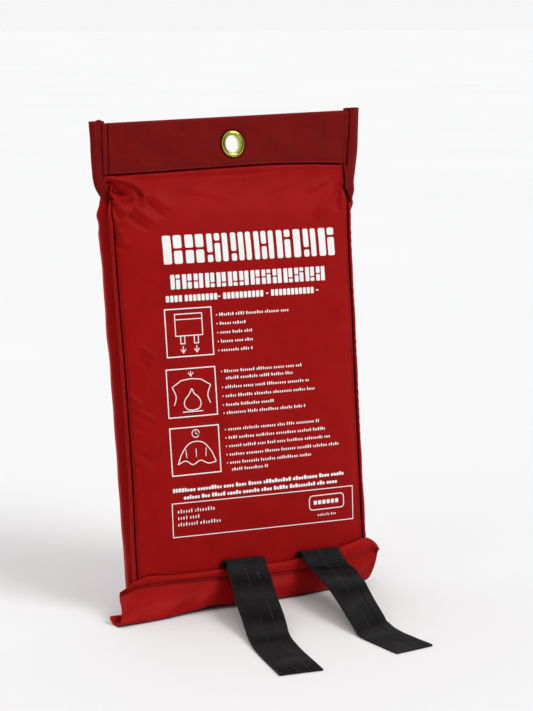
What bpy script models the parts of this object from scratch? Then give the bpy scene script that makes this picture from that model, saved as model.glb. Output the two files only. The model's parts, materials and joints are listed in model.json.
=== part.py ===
"""Fire blanket in its soft pouch, as an assembly of separate pieces.

Metres, +Z up, the front toward -Y. The origin is on the floor, in the middle of the base that the
pouch stands on. The pouch is built upright in its own slope frame (x across, y backwards from the
front face, z up the slope) and an empty then leans it back. The bottom flap and the pull tabs touch
the floor, so they are built in the world frame.
"""

import math

import bmesh
import bpy
from mathutils import Vector

# Driving dimensions
LEAN = math.radians(8.4)
FRONT_Y = -0.018
POUCH_HALF_WIDTH = 0.1075
GUSSET_DEPTH = 0.020
CLOTH = 0.0010
GAP = 0.0004
MOUTH = 0.010
HEADER_SEAM = 0.362
HEADER_TOP = 0.405
HEADER_HALF_WIDTH = 0.110
HEADER_FRONT = 0.0024
SEAM_TILT = 0.014
TOP_TILT = 0.028
PANEL_TOP = 0.3705
STRIP_WIDTH = 0.0105
PIPING_RADIUS = 0.0016
BELLY = 0.012
HEEL_DEPTH = 0.067
HEEL_HEIGHT = 0.017
HEEL_BEND = 0.0065
HEEL_CORNER = 0.104

EYELET_X = 0.005
EYELET_HEIGHT = 0.383
EYELET_OUTER = 0.011
EYELET_HOLE = 0.007
EYELET_WALL = 0.0007

BLANKET_HALF_WIDTH = 0.100
BLANKET_BOTTOM = 0.014
BLANKET_TOP = 0.314
BLANKET_FRONT = 0.0040

WEBBING_WIDTH = 0.035
WEBBING = 0.0014
CREST_RADIUS = 0.0025
CREST_HEIGHT = 0.0375
CREST_X = {"left": -0.0125, "right": 0.0574}

FLAP_ENDS = (-0.124, 0.113)
FLAP_TOP = 0.033
FLAP_RISE = 0.006
FLAP_HEM = 0.012
TOE_OUT = 0.013
TOE_SKEW = 0.065
TOE_BEND = 0.009

STITCH_PITCH = 0.0048
THREAD_RADIUS = 0.0003
THREAD_RISE = 0.0002

# Depths, in front of the front panel, of the flap's upper edge and of its turned hem
FLAP_LIP_DEPTH = -(2 * GAP + WEBBING + 0.0003 + CLOTH / 2)
HEM_DEPTH = FLAP_LIP_DEPTH - CLOTH - GAP

# Where each pull tab runs from its crest to its end, as (x, y, z) of its centre line
TAB_ROUTES = {
    "left": [
        (-0.0130, -0.0200, 0.0382),
        (-0.0145, -0.0265, 0.0325),
        (-0.0170, -0.0370, 0.0250),
        (-0.0220, -0.0600, 0.0155),
        (-0.0285, -0.0900, 0.0058),
        (-0.0340, -0.1150, 0.0014),
        (-0.0375, -0.1370, 0.0009),
        (-0.0425, -0.1700, 0.0009),
        (-0.0470, -0.2000, 0.0009),
    ],
    "right": [
        (0.0572, -0.0200, 0.0382),
        (0.0566, -0.0275, 0.0320),
        (0.0558, -0.0400, 0.0262),
        (0.0548, -0.0560, 0.0235),
        (0.0535, -0.0750, 0.0180),
        (0.0518, -0.1020, 0.0080),
        (0.0505, -0.1260, 0.0014),
        (0.0520, -0.1480, 0.0009),
        (0.0566, -0.1890, 0.0009),
    ],
}

COLOURS = {
    "red_cloth": ((0.33, 0.010, 0.012, 1.0), 0.55, 0.0),
    "maroon_cloth": ((0.19, 0.010, 0.014, 1.0), 0.6, 0.0),
    "red_thread": ((0.24, 0.010, 0.012, 1.0), 0.8, 0.0),
    "black_webbing": ((0.012, 0.012, 0.013, 1.0), 0.8, 0.0),
    "black_tape": ((0.02, 0.02, 0.02, 1.0), 0.9, 0.0),
    "glass_cloth": ((0.74, 0.73, 0.68, 1.0), 0.85, 0.0),
    "brass": ((0.80, 0.62, 0.22, 1.0), 0.25, 1.0),
}


def start_scene():
    """Clears the scene and returns the collections for the parts and for the cutters."""
    for obj in list(bpy.data.objects):
        bpy.data.objects.remove(obj)
    parts = bpy.data.collections.new("fire_blanket")
    cutters = bpy.data.collections.new("cutters")
    for collection in (parts, cutters):
        bpy.context.scene.collection.children.link(collection)
    return parts, cutters


def make_material(name):
    colour, roughness, metallic = COLOURS[name]
    material = bpy.data.materials.new(name)
    material.use_nodes = True
    shader = material.node_tree.nodes["Principled BSDF"]
    shader.inputs["Base Color"].default_value = colour
    shader.inputs["Roughness"].default_value = roughness
    shader.inputs["Metallic"].default_value = metallic
    material.diffuse_color = colour
    return material


PARTS, CUTTERS = start_scene()
MATERIALS = {name: make_material(name) for name in COLOURS}


def add_empty(name, location, parent=None):
    empty = bpy.data.objects.new(name, None)
    empty.empty_display_size = 0.02
    empty.location = location
    empty.parent = parent
    PARTS.objects.link(empty)
    return empty


def slope_to_world(depth, height):
    """World (y, z) of a point given by its depth and height in the slope frame."""
    y = FRONT_Y + depth * math.cos(LEAN) + height * math.sin(LEAN)
    z = height * math.cos(LEAN) - depth * math.sin(LEAN)
    return y, z


STANCE = add_empty("stance", (0.0, FRONT_Y, 0.0))
STANCE.rotation_euler.x = -LEAN

HINGE_Y, HINGE_Z = slope_to_world(HEEL_DEPTH, HEEL_HEIGHT)
CREST_DEPTH = -(GAP + WEBBING / 2 + CREST_RADIUS)
CREST_Y, CREST_Z = slope_to_world(CREST_DEPTH, CREST_HEIGHT + CREST_RADIUS + WEBBING / 2)

FLAP_HINGE = add_empty("flap_hinge", (0.0, HINGE_Y, HINGE_Z))
CRESTS = {side: add_empty(f"{side}_crest", (CREST_X[side], CREST_Y, CREST_Z)) for side in CREST_X}


def add_object(name, shape, material, parent=STANCE):
    """Turns a bmesh into a named object under a parent whose location its points are given from."""
    mesh = bpy.data.meshes.new(name)
    bmesh.ops.recalc_face_normals(shape, faces=shape.faces)
    shape.to_mesh(mesh)
    shape.free()
    mesh.materials.append(MATERIALS[material])
    mesh.shade_smooth()
    obj = bpy.data.objects.new(name, mesh)
    obj.parent = parent
    PARTS.objects.link(obj)
    return obj


def add_cloth(name, place, across, along, thickness, material, parent=STANCE):
    """A sheet: a grid whose points place(u, v) sets, thickened evenly about its middle."""
    shape = bmesh.new()
    bmesh.ops.create_grid(shape, x_segments=across, y_segments=along, size=0.5)
    offset = parent.location if parent is not STANCE else Vector()
    for vertex in shape.verts:
        vertex.co = Vector(place(vertex.co.x + 0.5, vertex.co.y + 0.5)) - offset
    obj = add_object(name, shape, material, parent)
    solidify = obj.modifiers.new("thickness", "SOLIDIFY")
    solidify.thickness = thickness
    solidify.offset = 0.0
    return obj


def mix(low, high, amount):
    return low + (high - low) * amount


def smooth(low, high, value):
    """0 below low, 1 above high, and an S curve between."""
    amount = min(1.0, max(0.0, (value - low) / (high - low)))
    return amount * amount * (3.0 - 2.0 * amount)


def spline(points, amount):
    """A point on a smooth curve through points, amount 0 to 1 along it."""
    spans = len(points) - 1
    position = min(amount, 0.999999) * spans
    index = int(position)
    t = position - index
    p = [Vector(points[min(spans, max(0, index + step))]) for step in (-1, 0, 1, 2)]
    first = (p[2] - p[0]) * 0.5
    second = (p[3] - p[1]) * 0.5
    return (
        p[1] * (2 * t**3 - 3 * t**2 + 1)
        + first * (t**3 - 2 * t**2 + t)
        + p[2] * (-2 * t**3 + 3 * t**2)
        + second * (t**3 - t**2)
    )


# The pouch's inside narrows upwards only, so that the blanket can leave it downwards.
def front_depth(height):
    """Depth of the front panel's middle surface, level with the header at the top."""
    return CLOTH / 2 + 0.0037 * smooth(0.318, 0.358, height)


def heel_share(x):
    """How much of the heel there is at x: all of it in the middle, none at the pouch's sides."""
    return max(0.0, 1.0 - (x / HEEL_CORNER) ** 4)


def back_edge_depth(height):
    """Depth of the back panel at the pouch's sides: the gusset, then the header."""
    shut = (GUSSET_DEPTH + 0.001 - 0.0057) * smooth(0.312, 0.358, height)
    return GUSSET_DEPTH + 0.001 - shut


def back_depth(x, height):
    """Depth of the back panel, with the belly and the heel that the stuffed blanket gives it."""
    reach = 1.0 - (x / POUCH_HALF_WIDTH) ** 2
    rise = smooth(HEEL_HEIGHT, 0.085, height) * (1.0 - smooth(0.300, 0.356, height))
    slack = mix(1.0, 0.75, smooth(0.085, 0.30, height))
    low = (1.0 - smooth(HEEL_HEIGHT, 0.085, height)) ** 1.5
    heel = (HEEL_DEPTH - GUSSET_DEPTH - 0.001) * low * heel_share(x)
    return back_edge_depth(height) + heel + BELLY * reach * rise * slack


def make_front_panel():
    half = POUCH_HALF_WIDTH - PIPING_RADIUS - GAP - 0.0007
    top_half = HEADER_HALF_WIDTH - 0.004

    def place(u, v):
        height = mix(MOUTH, PANEL_TOP, v)
        width = mix(half, top_half, smooth(0.345, 0.362, height))
        x = mix(-width, width, u)
        rise = smooth(0.05, 0.15, height) * (1.0 - smooth(0.26, 0.34, height))
        bulge = 0.003 * (1.0 - (x / half) ** 2) * rise
        return x, front_depth(height) - max(0.0, bulge), height

    return add_cloth("front_panel", place, 8, 18, CLOTH, "red_cloth")


def make_back_panel():
    half = POUCH_HALF_WIDTH

    def place(u, v):
        height = mix(HEEL_HEIGHT, PANEL_TOP, v)
        width = mix(half, HEADER_HALF_WIDTH - 0.004, smooth(0.345, 0.362, height))
        x = mix(-width, width, u)
        return x, back_depth(x, height), height

    return add_cloth("back_panel", place, 12, 20, CLOTH, "red_cloth")


def make_gusset(side, sign):
    """The side wall between the front and back panels, as deep as the pouch at each height."""
    low = HEEL_HEIGHT + 0.002
    high = 0.340

    def place(u, v):
        height = mix(low, high, v)
        front = front_depth(height) + 0.0030
        back = back_edge_depth(height) - CLOTH / 2 - GAP - 0.0002
        crown = 0.0015 * math.sin(math.pi * u)
        return sign * (POUCH_HALF_WIDTH + 0.0017 + crown), mix(front, back, u), height

    return add_cloth(f"{side}_gusset", place, 4, 16, CLOTH, "red_cloth")


def cylinder_cutter(name, radius, location):
    """A cutter along the slope frame's depth axis."""
    shape = bmesh.new()
    bmesh.ops.create_cone(
        shape, cap_ends=True, segments=32, radius1=radius, radius2=radius, depth=0.03
    )
    cutter = add_object(name, shape, "brass")
    PARTS.objects.unlink(cutter)
    CUTTERS.objects.link(cutter)
    cutter.location = location
    cutter.rotation_euler.x = math.pi / 2
    cutter.hide_render = True
    cutter.display_type = "WIRE"
    return cutter


def header_tilt(x, height):
    """How far the band's edges rise to the right, most at its top."""
    return x * mix(SEAM_TILT, TOP_TILT, (height - HEADER_SEAM) / (HEADER_TOP - HEADER_SEAM))


def make_header_band():
    """The maroon band: one strip folded over the top, so that it covers front and back."""
    front = HEADER_FRONT + CLOTH / 2
    back = HEADER_FRONT + 4 * CLOTH + 3 * GAP - CLOTH / 2
    bend = (back - front) / 2
    straight = HEADER_TOP - bend - HEADER_SEAM
    length = 2 * straight + math.pi * bend

    def place(u, v):
        x = mix(-HEADER_HALF_WIDTH, HEADER_HALF_WIDTH, u)
        run = v * length
        if run < straight:
            return x, front, HEADER_SEAM + run + header_tilt(x, HEADER_SEAM + run)
        if run > length - straight:
            height = HEADER_SEAM + length - run
            return x, back, height + header_tilt(x, height)
        angle = (run - straight) / bend
        depth = front + bend - bend * math.cos(angle)
        height = HEADER_TOP - bend + bend * math.sin(angle)
        return x, depth, height + header_tilt(x, height)

    band = add_cloth("header_band", place, 4, 16, CLOTH, "maroon_cloth")
    centre = (EYELET_X, (front + back) / 2, EYELET_HEIGHT)
    cutter = cylinder_cutter("eyelet_cutter", EYELET_HOLE + EYELET_WALL + GAP, centre)
    hole = band.modifiers.new("eyelet_hole", "BOOLEAN")
    hole.operation = "DIFFERENCE"
    hole.object = cutter
    return band


def make_header_strip(side, sign):
    """The gusset's end, folded flat in half and standing out beside the header."""
    inner = HEADER_HALF_WIDTH + GAP
    depth = HEADER_FRONT + 2 * CLOTH + 1.5 * GAP
    low = 0.346
    high = HEADER_TOP + TOP_TILT * sign * HEADER_HALF_WIDTH
    fold = 0.0006

    def place(u, v):
        height = mix(low, high, v)
        run = 2.0 * abs(u - 0.5)
        layer = math.copysign(CLOTH / 2 + fold * run, u - 0.5) if u != 0.5 else 0.0
        x = inner + STRIP_WIDTH * (1.0 - run) * mix(0.6, 1.0, smooth(low, HEADER_SEAM, height))
        return sign * (x + CLOTH / 2), depth + layer, height

    return add_cloth(f"{side}_header_strip", place, 6, 6, CLOTH * 0.8, "maroon_cloth")


def turned(name, profile, location, material):
    """A solid of revolution about the depth axis, from a closed (radius, depth) outline."""
    shape = bmesh.new()
    points = [shape.verts.new((radius, 0.0, -depth)) for radius, depth in profile]
    for start, end in zip(points, points[1:] + points[:1]):
        shape.edges.new((start, end))
    mesh = bpy.data.meshes.new(name)
    shape.to_mesh(mesh)
    shape.free()
    mesh.materials.append(MATERIALS[material])
    obj = bpy.data.objects.new(name, mesh)
    obj.parent = STANCE
    obj.location = location
    obj.rotation_euler.x = math.pi / 2
    PARTS.objects.link(obj)
    screw = obj.modifiers.new("turn", "SCREW")
    screw.axis = "Z"
    screw.steps = 32
    screw.render_steps = 32
    screw.use_merge_vertices = True
    screw.merge_threshold = 0.00001
    screw.use_smooth_shade = True
    return obj


def make_eyelet():
    """The brass eyelet, from its domed front flange to the lip rolled over the washer."""
    front = HEADER_FRONT - GAP
    back = HEADER_FRONT + 4 * CLOTH + 3 * GAP
    washer_back = back + GAP + 0.0008
    lip = washer_back + GAP
    tube = EYELET_HOLE + EYELET_WALL
    outline = [
        (EYELET_HOLE, front - 0.0002),
        (EYELET_HOLE + 0.0006, front - 0.0012),
        (EYELET_HOLE + 0.0018, front - 0.0018),
        (EYELET_HOLE + 0.0030, front - 0.0013),
        (EYELET_OUTER, front - 0.0003),
        (EYELET_OUTER, front),
        (tube, front),
        (tube, lip),
        (tube + 0.0016, lip),
        (tube + 0.0013, lip + 0.0008),
        (tube + 0.0002, lip + 0.0008),
        (EYELET_HOLE, lip + 0.0003),
    ]
    turned("eyelet", outline, (EYELET_X, 0.0, EYELET_HEIGHT), "brass")
    washer = [
        (tube + GAP, back + GAP),
        (EYELET_OUTER - 0.0004, back + GAP),
        (EYELET_OUTER, back + GAP + 0.0004),
        (EYELET_OUTER - 0.0002, washer_back),
        (tube + GAP, washer_back),
    ]
    turned("eyelet_washer", washer, (EYELET_X, 0.0, EYELET_HEIGHT), "brass")


def add_thread(name, points, parent=STANCE, radius=THREAD_RADIUS, material="red_thread"):
    """A round line through points: a sewn thread, or a corded seam."""
    curve = bpy.data.curves.new(name, "CURVE")
    curve.dimensions = "3D"
    curve.bevel_depth = radius
    curve.bevel_resolution = 1 if radius == THREAD_RADIUS else 2
    curve.use_fill_caps = True
    offset = parent.location if parent is not STANCE else Vector()
    run = curve.splines.new("POLY")
    run.points.add(len(points) - 1)
    for point, place in zip(run.points, points):
        point.co = (*(Vector(place) - offset), 1.0)
    curve.materials.append(MATERIALS[material])
    obj = bpy.data.objects.new(name, curve)
    obj.parent = parent
    PARTS.objects.link(obj)
    return obj


def row_across(left, right, place):
    """Points of a sewn row, which rises a little from the cloth at each stitch."""
    points = []
    for step in range(int((right - left) / STITCH_PITCH) + 1):
        x = left + STITCH_PITCH * step
        depth, height = place(x)
        points.append((x, depth - THREAD_RISE * (step % 2), height))
    return points


def make_piping(side, sign):
    """The corded seam along a front edge."""
    heights = [mix(MOUTH + 0.004, 0.342, step / 11) for step in range(12)]
    x = sign * (POUCH_HALF_WIDTH - 0.0002)
    points = [(x, front_depth(height) + 0.0001, height) for height in heights]
    return add_thread(f"{side}_piping", points, radius=PIPING_RADIUS, material="red_cloth")


def make_header_stitching():
    depth = HEADER_FRONT - GAP - THREAD_RADIUS
    half = HEADER_HALF_WIDTH - 0.004
    low = HEADER_SEAM + 0.004
    add_thread("header_stitching", row_across(-half, half, lambda x: (depth, low + SEAM_TILT * x)))


def make_blanket():
    """The folded blanket: a block whose section only grows downwards."""
    shape = bmesh.new()
    bmesh.ops.create_cube(shape, size=1.0)
    bmesh.ops.subdivide_edges(shape, edges=shape.edges, cuts=7, use_grid_fill=True)
    for vertex in shape.verts:
        a, b, c = vertex.co
        height = mix(BLANKET_BOTTOM, BLANKET_TOP, c + 0.5)
        round_off = 1.0 - 0.055 * (2 * b) ** 4
        x = 2 * a * BLANKET_HALF_WIDTH * round_off
        limit = back_depth(x, min(height, 0.298)) - CLOTH / 2 - 0.0012
        plain = mix(0.0300, 0.0270, c + 0.5) - 0.009 * (x / BLANKET_HALF_WIDTH) ** 2
        back = min(plain, limit)
        taper = 1.0 - 0.35 * smooth(0.42, 0.5, abs(c))
        middle = (BLANKET_FRONT + back) / 2
        half = (back - BLANKET_FRONT) / 2
        edge = 1.0 - 0.45 * smooth(0.40, 0.5, abs(a))
        vertex.co = (x, middle + 2 * b * half * edge * taper, height)
    return add_object("folded_blanket", shape, "glass_cloth")


def ribbon(centre_at, x_at, half):
    """place(u, v) of a ribbon that lies across x and follows centre_at(v) = (depth, height)."""

    def place(u, v):
        depth, height = centre_at(v)
        return x_at + mix(-half, half, u), depth, height

    return place


def riser_path():
    """(depth, height) points: down the blanket's front, round the mouth's edge, up to the crest."""
    inner = CLOTH + 2 * GAP + 2 * THREAD_RADIUS + WEBBING / 2
    outer = -(GAP + WEBBING / 2)
    centre = (inner + outer) / 2
    bend = (inner - outer) / 2
    turn_height = MOUTH - 0.0008
    points = [(inner, 0.070), (inner, 0.050), (inner, 0.030), (inner, 0.018)]
    for step in range(9):
        angle = math.pi * step / 8
        points.append((centre + bend * math.cos(angle), turn_height - bend * math.sin(angle)))
    points += [(outer, 0.018), (outer, 0.028)]
    crest_centre = outer - CREST_RADIUS
    for step in range(6):
        angle = math.radians(90 * step / 5)
        points.append(
            (crest_centre + CREST_RADIUS * math.cos(angle), CREST_HEIGHT + CREST_RADIUS * math.sin(angle))
        )
    end_depth, end_height = points[-1]
    points[-1] = (end_depth + 0.00015, end_height)
    return points


def make_riser(side):
    """The webbing's hidden length: sewn flat to the blanket, then out of the mouth to the crest."""
    points = riser_path()
    spans = len(points) - 1

    def centre_at(v):
        index = min(spans, round(v * spans))
        return points[index]

    place = ribbon(centre_at, CREST_X[side], WEBBING_WIDTH / 2)
    return add_cloth(f"{side}_strap_riser", place, 2, spans, WEBBING, "black_webbing")


def make_anchor_stitching(side):
    """The sewn box, with a diagonal, that fixes the strap to the blanket."""
    depth = CLOTH + GAP + THREAD_RADIUS
    half = WEBBING_WIDTH / 2 - 0.004
    low, high = 0.040, 0.064
    left, right = CREST_X[side] - half, CREST_X[side] + half
    corners = [(left, low), (right, low), (right, high), (left, high), (left, low + 0.0012)]
    corners.append((right - 0.0012, high - 0.0012))
    points = [(x, depth, height) for x, height in corners]
    return add_thread(f"{side}_anchor_stitching", points, material="black_tape")


def make_tab(side):
    """A pull tab, from the crest over the flap down to the floor and out along it."""
    crest = (CREST_X[side], CREST_Y - 0.0008, CREST_Z - WEBBING / 2)
    points = [crest] + TAB_ROUTES[side]

    def place(u, v):
        here = spline(points, v)
        ahead = spline(points, min(1.0, v + 0.01)) - spline(points, max(0.0, v - 0.01))
        heading = Vector((ahead.x, ahead.y, 0.0)).normalized()
        square = smooth(0.0, 0.25, v)
        across = Vector((1.0, 0.0, 0.0)).lerp(Vector((-heading.y, heading.x, 0.0)), square)
        return here + across.normalized() * mix(-WEBBING_WIDTH / 2, WEBBING_WIDTH / 2, u)

    return add_cloth(f"{side}_pull_tab", place, 2, 30, WEBBING, "black_webbing", CRESTS[side])


def toe_y(x):
    """Where the flap's fold meets the floor in front: further forward at the left."""
    return FRONT_Y - TOE_OUT + TOE_SKEW * x


def flap_top(x):
    """Height of the flap's free edge, which rises at the right end."""
    return FLAP_TOP + FLAP_RISE * smooth(0.045, 0.105, x)


def flap_profile(x):
    """(y, z) points of the flap's middle surface at x: from the back, under the base, up the front."""
    lift = CLOTH / 2
    heel_depth = GUSSET_DEPTH + 0.002 + (HEEL_DEPTH - GUSSET_DEPTH - 0.002) * heel_share(x)
    heel_y, heel_z = slope_to_world(heel_depth, HEEL_HEIGHT)
    centre_y = heel_y - 0.0002 - HEEL_BEND
    points = [(heel_y - 0.0001, heel_z - 0.0010)]
    for step in range(1, 6):
        angle = math.radians(-90 * step / 5)
        y = centre_y + HEEL_BEND * math.cos(angle)
        points.append((y, lift + HEEL_BEND * (1.0 + math.sin(angle))))
    toe = toe_y(x) + TOE_BEND
    points += [(mix(centre_y, toe, step / 4), lift) for step in range(1, 4)]
    for step in range(6):
        angle = math.radians(-90 - 100 * step / 5)
        points.append((toe + TOE_BEND * math.cos(angle), lift + TOE_BEND * (1.0 + math.sin(angle))))
    lip = slope_to_world(FLAP_LIP_DEPTH, flap_top(x))
    knee = slope_to_world(FLAP_LIP_DEPTH, flap_top(x) - FLAP_HEM - 0.0005)
    points.append((knee[0] - 0.0015, knee[1]))
    points.append(((knee[0] + lip[0]) / 2, (knee[1] + lip[1]) / 2))
    points.append(lip)
    return points


def make_flap():
    """The flap that closes the mouth, and the turned hem along its free edge."""
    spans = len(flap_profile(0.0)) - 1

    def place(u, v):
        x = mix(*FLAP_ENDS, u)
        y, z = flap_profile(x)[min(spans, round(v * spans))]
        return x, y, z

    add_cloth("bottom_flap", place, 18, spans, CLOTH, "red_cloth", FLAP_HINGE)

    def hem_place(u, v):
        x = mix(*FLAP_ENDS, u)
        y, z = slope_to_world(HEM_DEPTH, mix(flap_top(x) - FLAP_HEM + 0.002, flap_top(x), v))
        return x, y - 0.0012 * (1.0 - v), z

    add_cloth("flap_hem", hem_place, 18, 2, CLOTH, "red_cloth", FLAP_HINGE)

    def seam_place(x):
        depth = HEM_DEPTH - CLOTH / 2 - GAP - THREAD_RADIUS
        y, z = slope_to_world(depth, flap_top(x) - FLAP_HEM + 0.004)
        return y - 0.0011, z

    row = row_across(FLAP_ENDS[0] + 0.004, FLAP_ENDS[1] - 0.004, seam_place)
    add_thread("flap_stitching", row, FLAP_HINGE)


def make_closure_tape():
    """A strip of hook tape on the pouch's mouth and of loop tape inside the flap, between the tabs."""
    middle = (CREST_X["left"] + CREST_X["right"]) / 2
    half = 0.014
    tape = 0.0007
    hook_depth = -(GAP + tape / 2 - 0.0001)
    loop_depth = hook_depth - tape - 0.0003

    def hook_place(u, v):
        return middle + mix(-half, half, u), hook_depth, mix(0.0235, FLAP_TOP - 0.001, v)

    add_cloth("hook_tape", hook_place, 2, 1, tape, "black_tape")

    def loop_place(u, v):
        y, z = slope_to_world(loop_depth, mix(0.0235, FLAP_TOP - 0.001, v))
        return middle + mix(-half, half, u), y, z

    add_cloth("loop_tape", loop_place, 2, 1, tape, "black_tape", FLAP_HINGE)


def main():
    make_front_panel()
    make_back_panel()
    for side, sign in (("left", -1.0), ("right", 1.0)):
        make_gusset(side, sign)
        make_piping(side, sign)
        make_header_strip(side, sign)
        make_riser(side)
        make_anchor_stitching(side)
        make_tab(side)
    make_header_band()
    make_eyelet()
    make_header_stitching()
    make_blanket()
    make_flap()
    make_closure_tape()


main()
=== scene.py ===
"""The looks of the fire blanket in its soft pouch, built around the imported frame.

Lengths are in metres, as in the frame, and tables of points are in millimetres. Most pieces are
worked out in the pouch's slope frame: x across, depth backwards from the front face, height up the
slope. The header, the seams and the print follow the same front_face as the panel does.
"""

import json
import math

import bpy
import numpy as np
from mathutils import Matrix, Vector


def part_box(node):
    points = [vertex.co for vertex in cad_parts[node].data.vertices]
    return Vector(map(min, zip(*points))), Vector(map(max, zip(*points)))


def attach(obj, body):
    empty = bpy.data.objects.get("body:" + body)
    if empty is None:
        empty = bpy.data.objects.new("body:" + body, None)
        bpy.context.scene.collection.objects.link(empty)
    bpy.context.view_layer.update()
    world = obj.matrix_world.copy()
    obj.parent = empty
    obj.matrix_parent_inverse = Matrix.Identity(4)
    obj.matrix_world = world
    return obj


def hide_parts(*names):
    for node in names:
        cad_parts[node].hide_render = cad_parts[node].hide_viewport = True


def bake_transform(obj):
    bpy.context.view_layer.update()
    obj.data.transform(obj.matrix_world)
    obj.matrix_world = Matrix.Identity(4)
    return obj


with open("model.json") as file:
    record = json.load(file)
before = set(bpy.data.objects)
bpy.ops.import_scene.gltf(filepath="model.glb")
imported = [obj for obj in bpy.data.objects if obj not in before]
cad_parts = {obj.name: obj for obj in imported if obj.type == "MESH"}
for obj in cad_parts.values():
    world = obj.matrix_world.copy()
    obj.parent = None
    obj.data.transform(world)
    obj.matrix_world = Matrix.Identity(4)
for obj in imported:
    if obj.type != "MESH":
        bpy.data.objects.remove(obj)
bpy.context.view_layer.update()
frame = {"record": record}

MM = 0.001
WALL_MOUNT = next(m for m in frame["record"]["mounts"] if m["name"] == "eyelet_back")
LEAN_COS, LEAN_SIN = WALL_MOUNT["axis"][1], -WALL_MOUNT["axis"][2]
FRONT_Y = -18 * MM

CLOTH = 0.6 * MM
INK = 0.12 * MM
MOUTH = 10 * MM
PANEL_TOP = 370 * MM
GUSSET_DEPTH = 20 * MM
PIPING_RADIUS = 1.3 * MM
HEADER_FRONT = 2.4 * MM
HEADER_BACK = 7.6 * MM
BELLY = 12 * MM
HEEL_DEPTH = 67 * MM
HEEL_HEIGHT = 17 * MM
HEEL_BEND = 6.5 * MM
HEEL_CORNER = 104 * MM
WEBBING_WIDTH = 35 * MM
WEBBING = 1.4 * MM
TAPE = 0.7 * MM
BLANKET_FRONT = 3.7 * MM
PLY = 0.70 * MM
FOLDS = 6
LONG_PANEL = 295.5 * MM
WIDE_PANEL = 195.0 * MM
CREST_HEIGHT = 33.0 * MM
CREST_RADIUS = 4.0 * MM

RIB_PITCH = 1.9 * MM
EYELET_HEIGHT = 383 * MM

# Where the webbing keeps a lengthwise fold line: -1 is its left edge and 1 its right edge
FOLD_LINES = (-0.10, 0.44)

CAMERA_AZIMUTH = math.radians(25.0)
CAMERA_PITCH = math.radians(9.76)
CAMERA_AT = Vector((-0.6686, -1.4706, 0.4838))
CAMERA_LENS = 99.94
FLOOR_HALF = 60.0

# Suns: where each comes from, its strength, and its width in degrees
SUNS = {
    "key": ((0.72, -0.93, 1.0), 1.52, 28.0),
    "fill": ((-1.0, -0.30, 0.35), 0.30, 45.0),
    "top": ((-0.1, -0.1, 1.0), 0.45, 80.0),
}


# ---------------------------------------------------------------- numbers and curves


def smooth(low, high, value):
    """0 below low, 1 above high, and an S curve between."""
    amount = np.clip((value - low) / (high - low), 0.0, 1.0)
    return amount * amount * (3.0 - 2.0 * amount)


def mix(low, high, amount):
    return low + (high - low) * amount


def bell(value, middle, width):
    """1 at the middle, falling away smoothly on both sides."""
    return np.exp(-(((value - middle) / width) ** 2))


def run_length(points):
    """Distance along each line of points, from its first point."""
    steps = np.linalg.norm(np.diff(points, axis=0), axis=-1)
    return np.concatenate([np.zeros((1, *steps.shape[1:])), np.cumsum(steps, axis=0)])


def pick(at, run, table):
    """The rows of a table at given distances along it."""
    return np.stack([np.interp(at, run, column) for column in table.T], -1)


def through(points, value):
    """A smooth curve through (place, amount) points in millimetres, level beyond its ends."""
    place, amount = np.array(points, float).T * MM
    slope = np.gradient(amount, place)
    value = np.clip(value, place[0], place[-1])
    index = np.clip(np.searchsorted(place, value, side="right") - 1, 0, len(place) - 2)
    span = place[index + 1] - place[index]
    t = (value - place[index]) / span
    return (
        amount[index] * (2 * t**3 - 3 * t**2 + 1)
        + slope[index] * span * (t**3 - 2 * t**2 + t)
        + amount[index + 1] * (3 * t**2 - 2 * t**3)
        + slope[index + 1] * span * (t**3 - t**2)
    )


def spline(points, count):
    """count points, evenly spaced, on a smooth curve through points of any dimension."""
    points = np.array(points, float)
    padded = np.vstack([2 * points[0] - points[1], points, 2 * points[-1] - points[-2]])
    t = np.linspace(0.0, 1.0, 24, endpoint=False)[:, None]
    runs = []
    for a, b, c, d in zip(padded, padded[1:], padded[2:], padded[3:]):
        bend = 2 * a - 5 * b + 4 * c - d
        twist = 3 * b - a - 3 * c + d
        runs.append(0.5 * (2 * b + (c - a) * t + bend * t**2 + twist * t**3))
    fine = np.vstack([*runs, points[-1:]])
    run = run_length(fine)
    return pick(np.linspace(0.0, run[-1], count), run, fine)


def ripple(x, y, scale, seed):
    """Gentle uneven waves from about -1 to 1, roughly scale apart."""
    chance = np.random.default_rng(seed)
    total = 0.0
    for _ in range(7):
        angle, phase = chance.uniform(0.0, math.tau, 2)
        rate = math.tau / scale * chance.uniform(0.6, 1.5)
        total = total + np.sin(rate * (x * math.cos(angle) + y * math.sin(angle)) + phase)
    return total / 3.5


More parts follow.
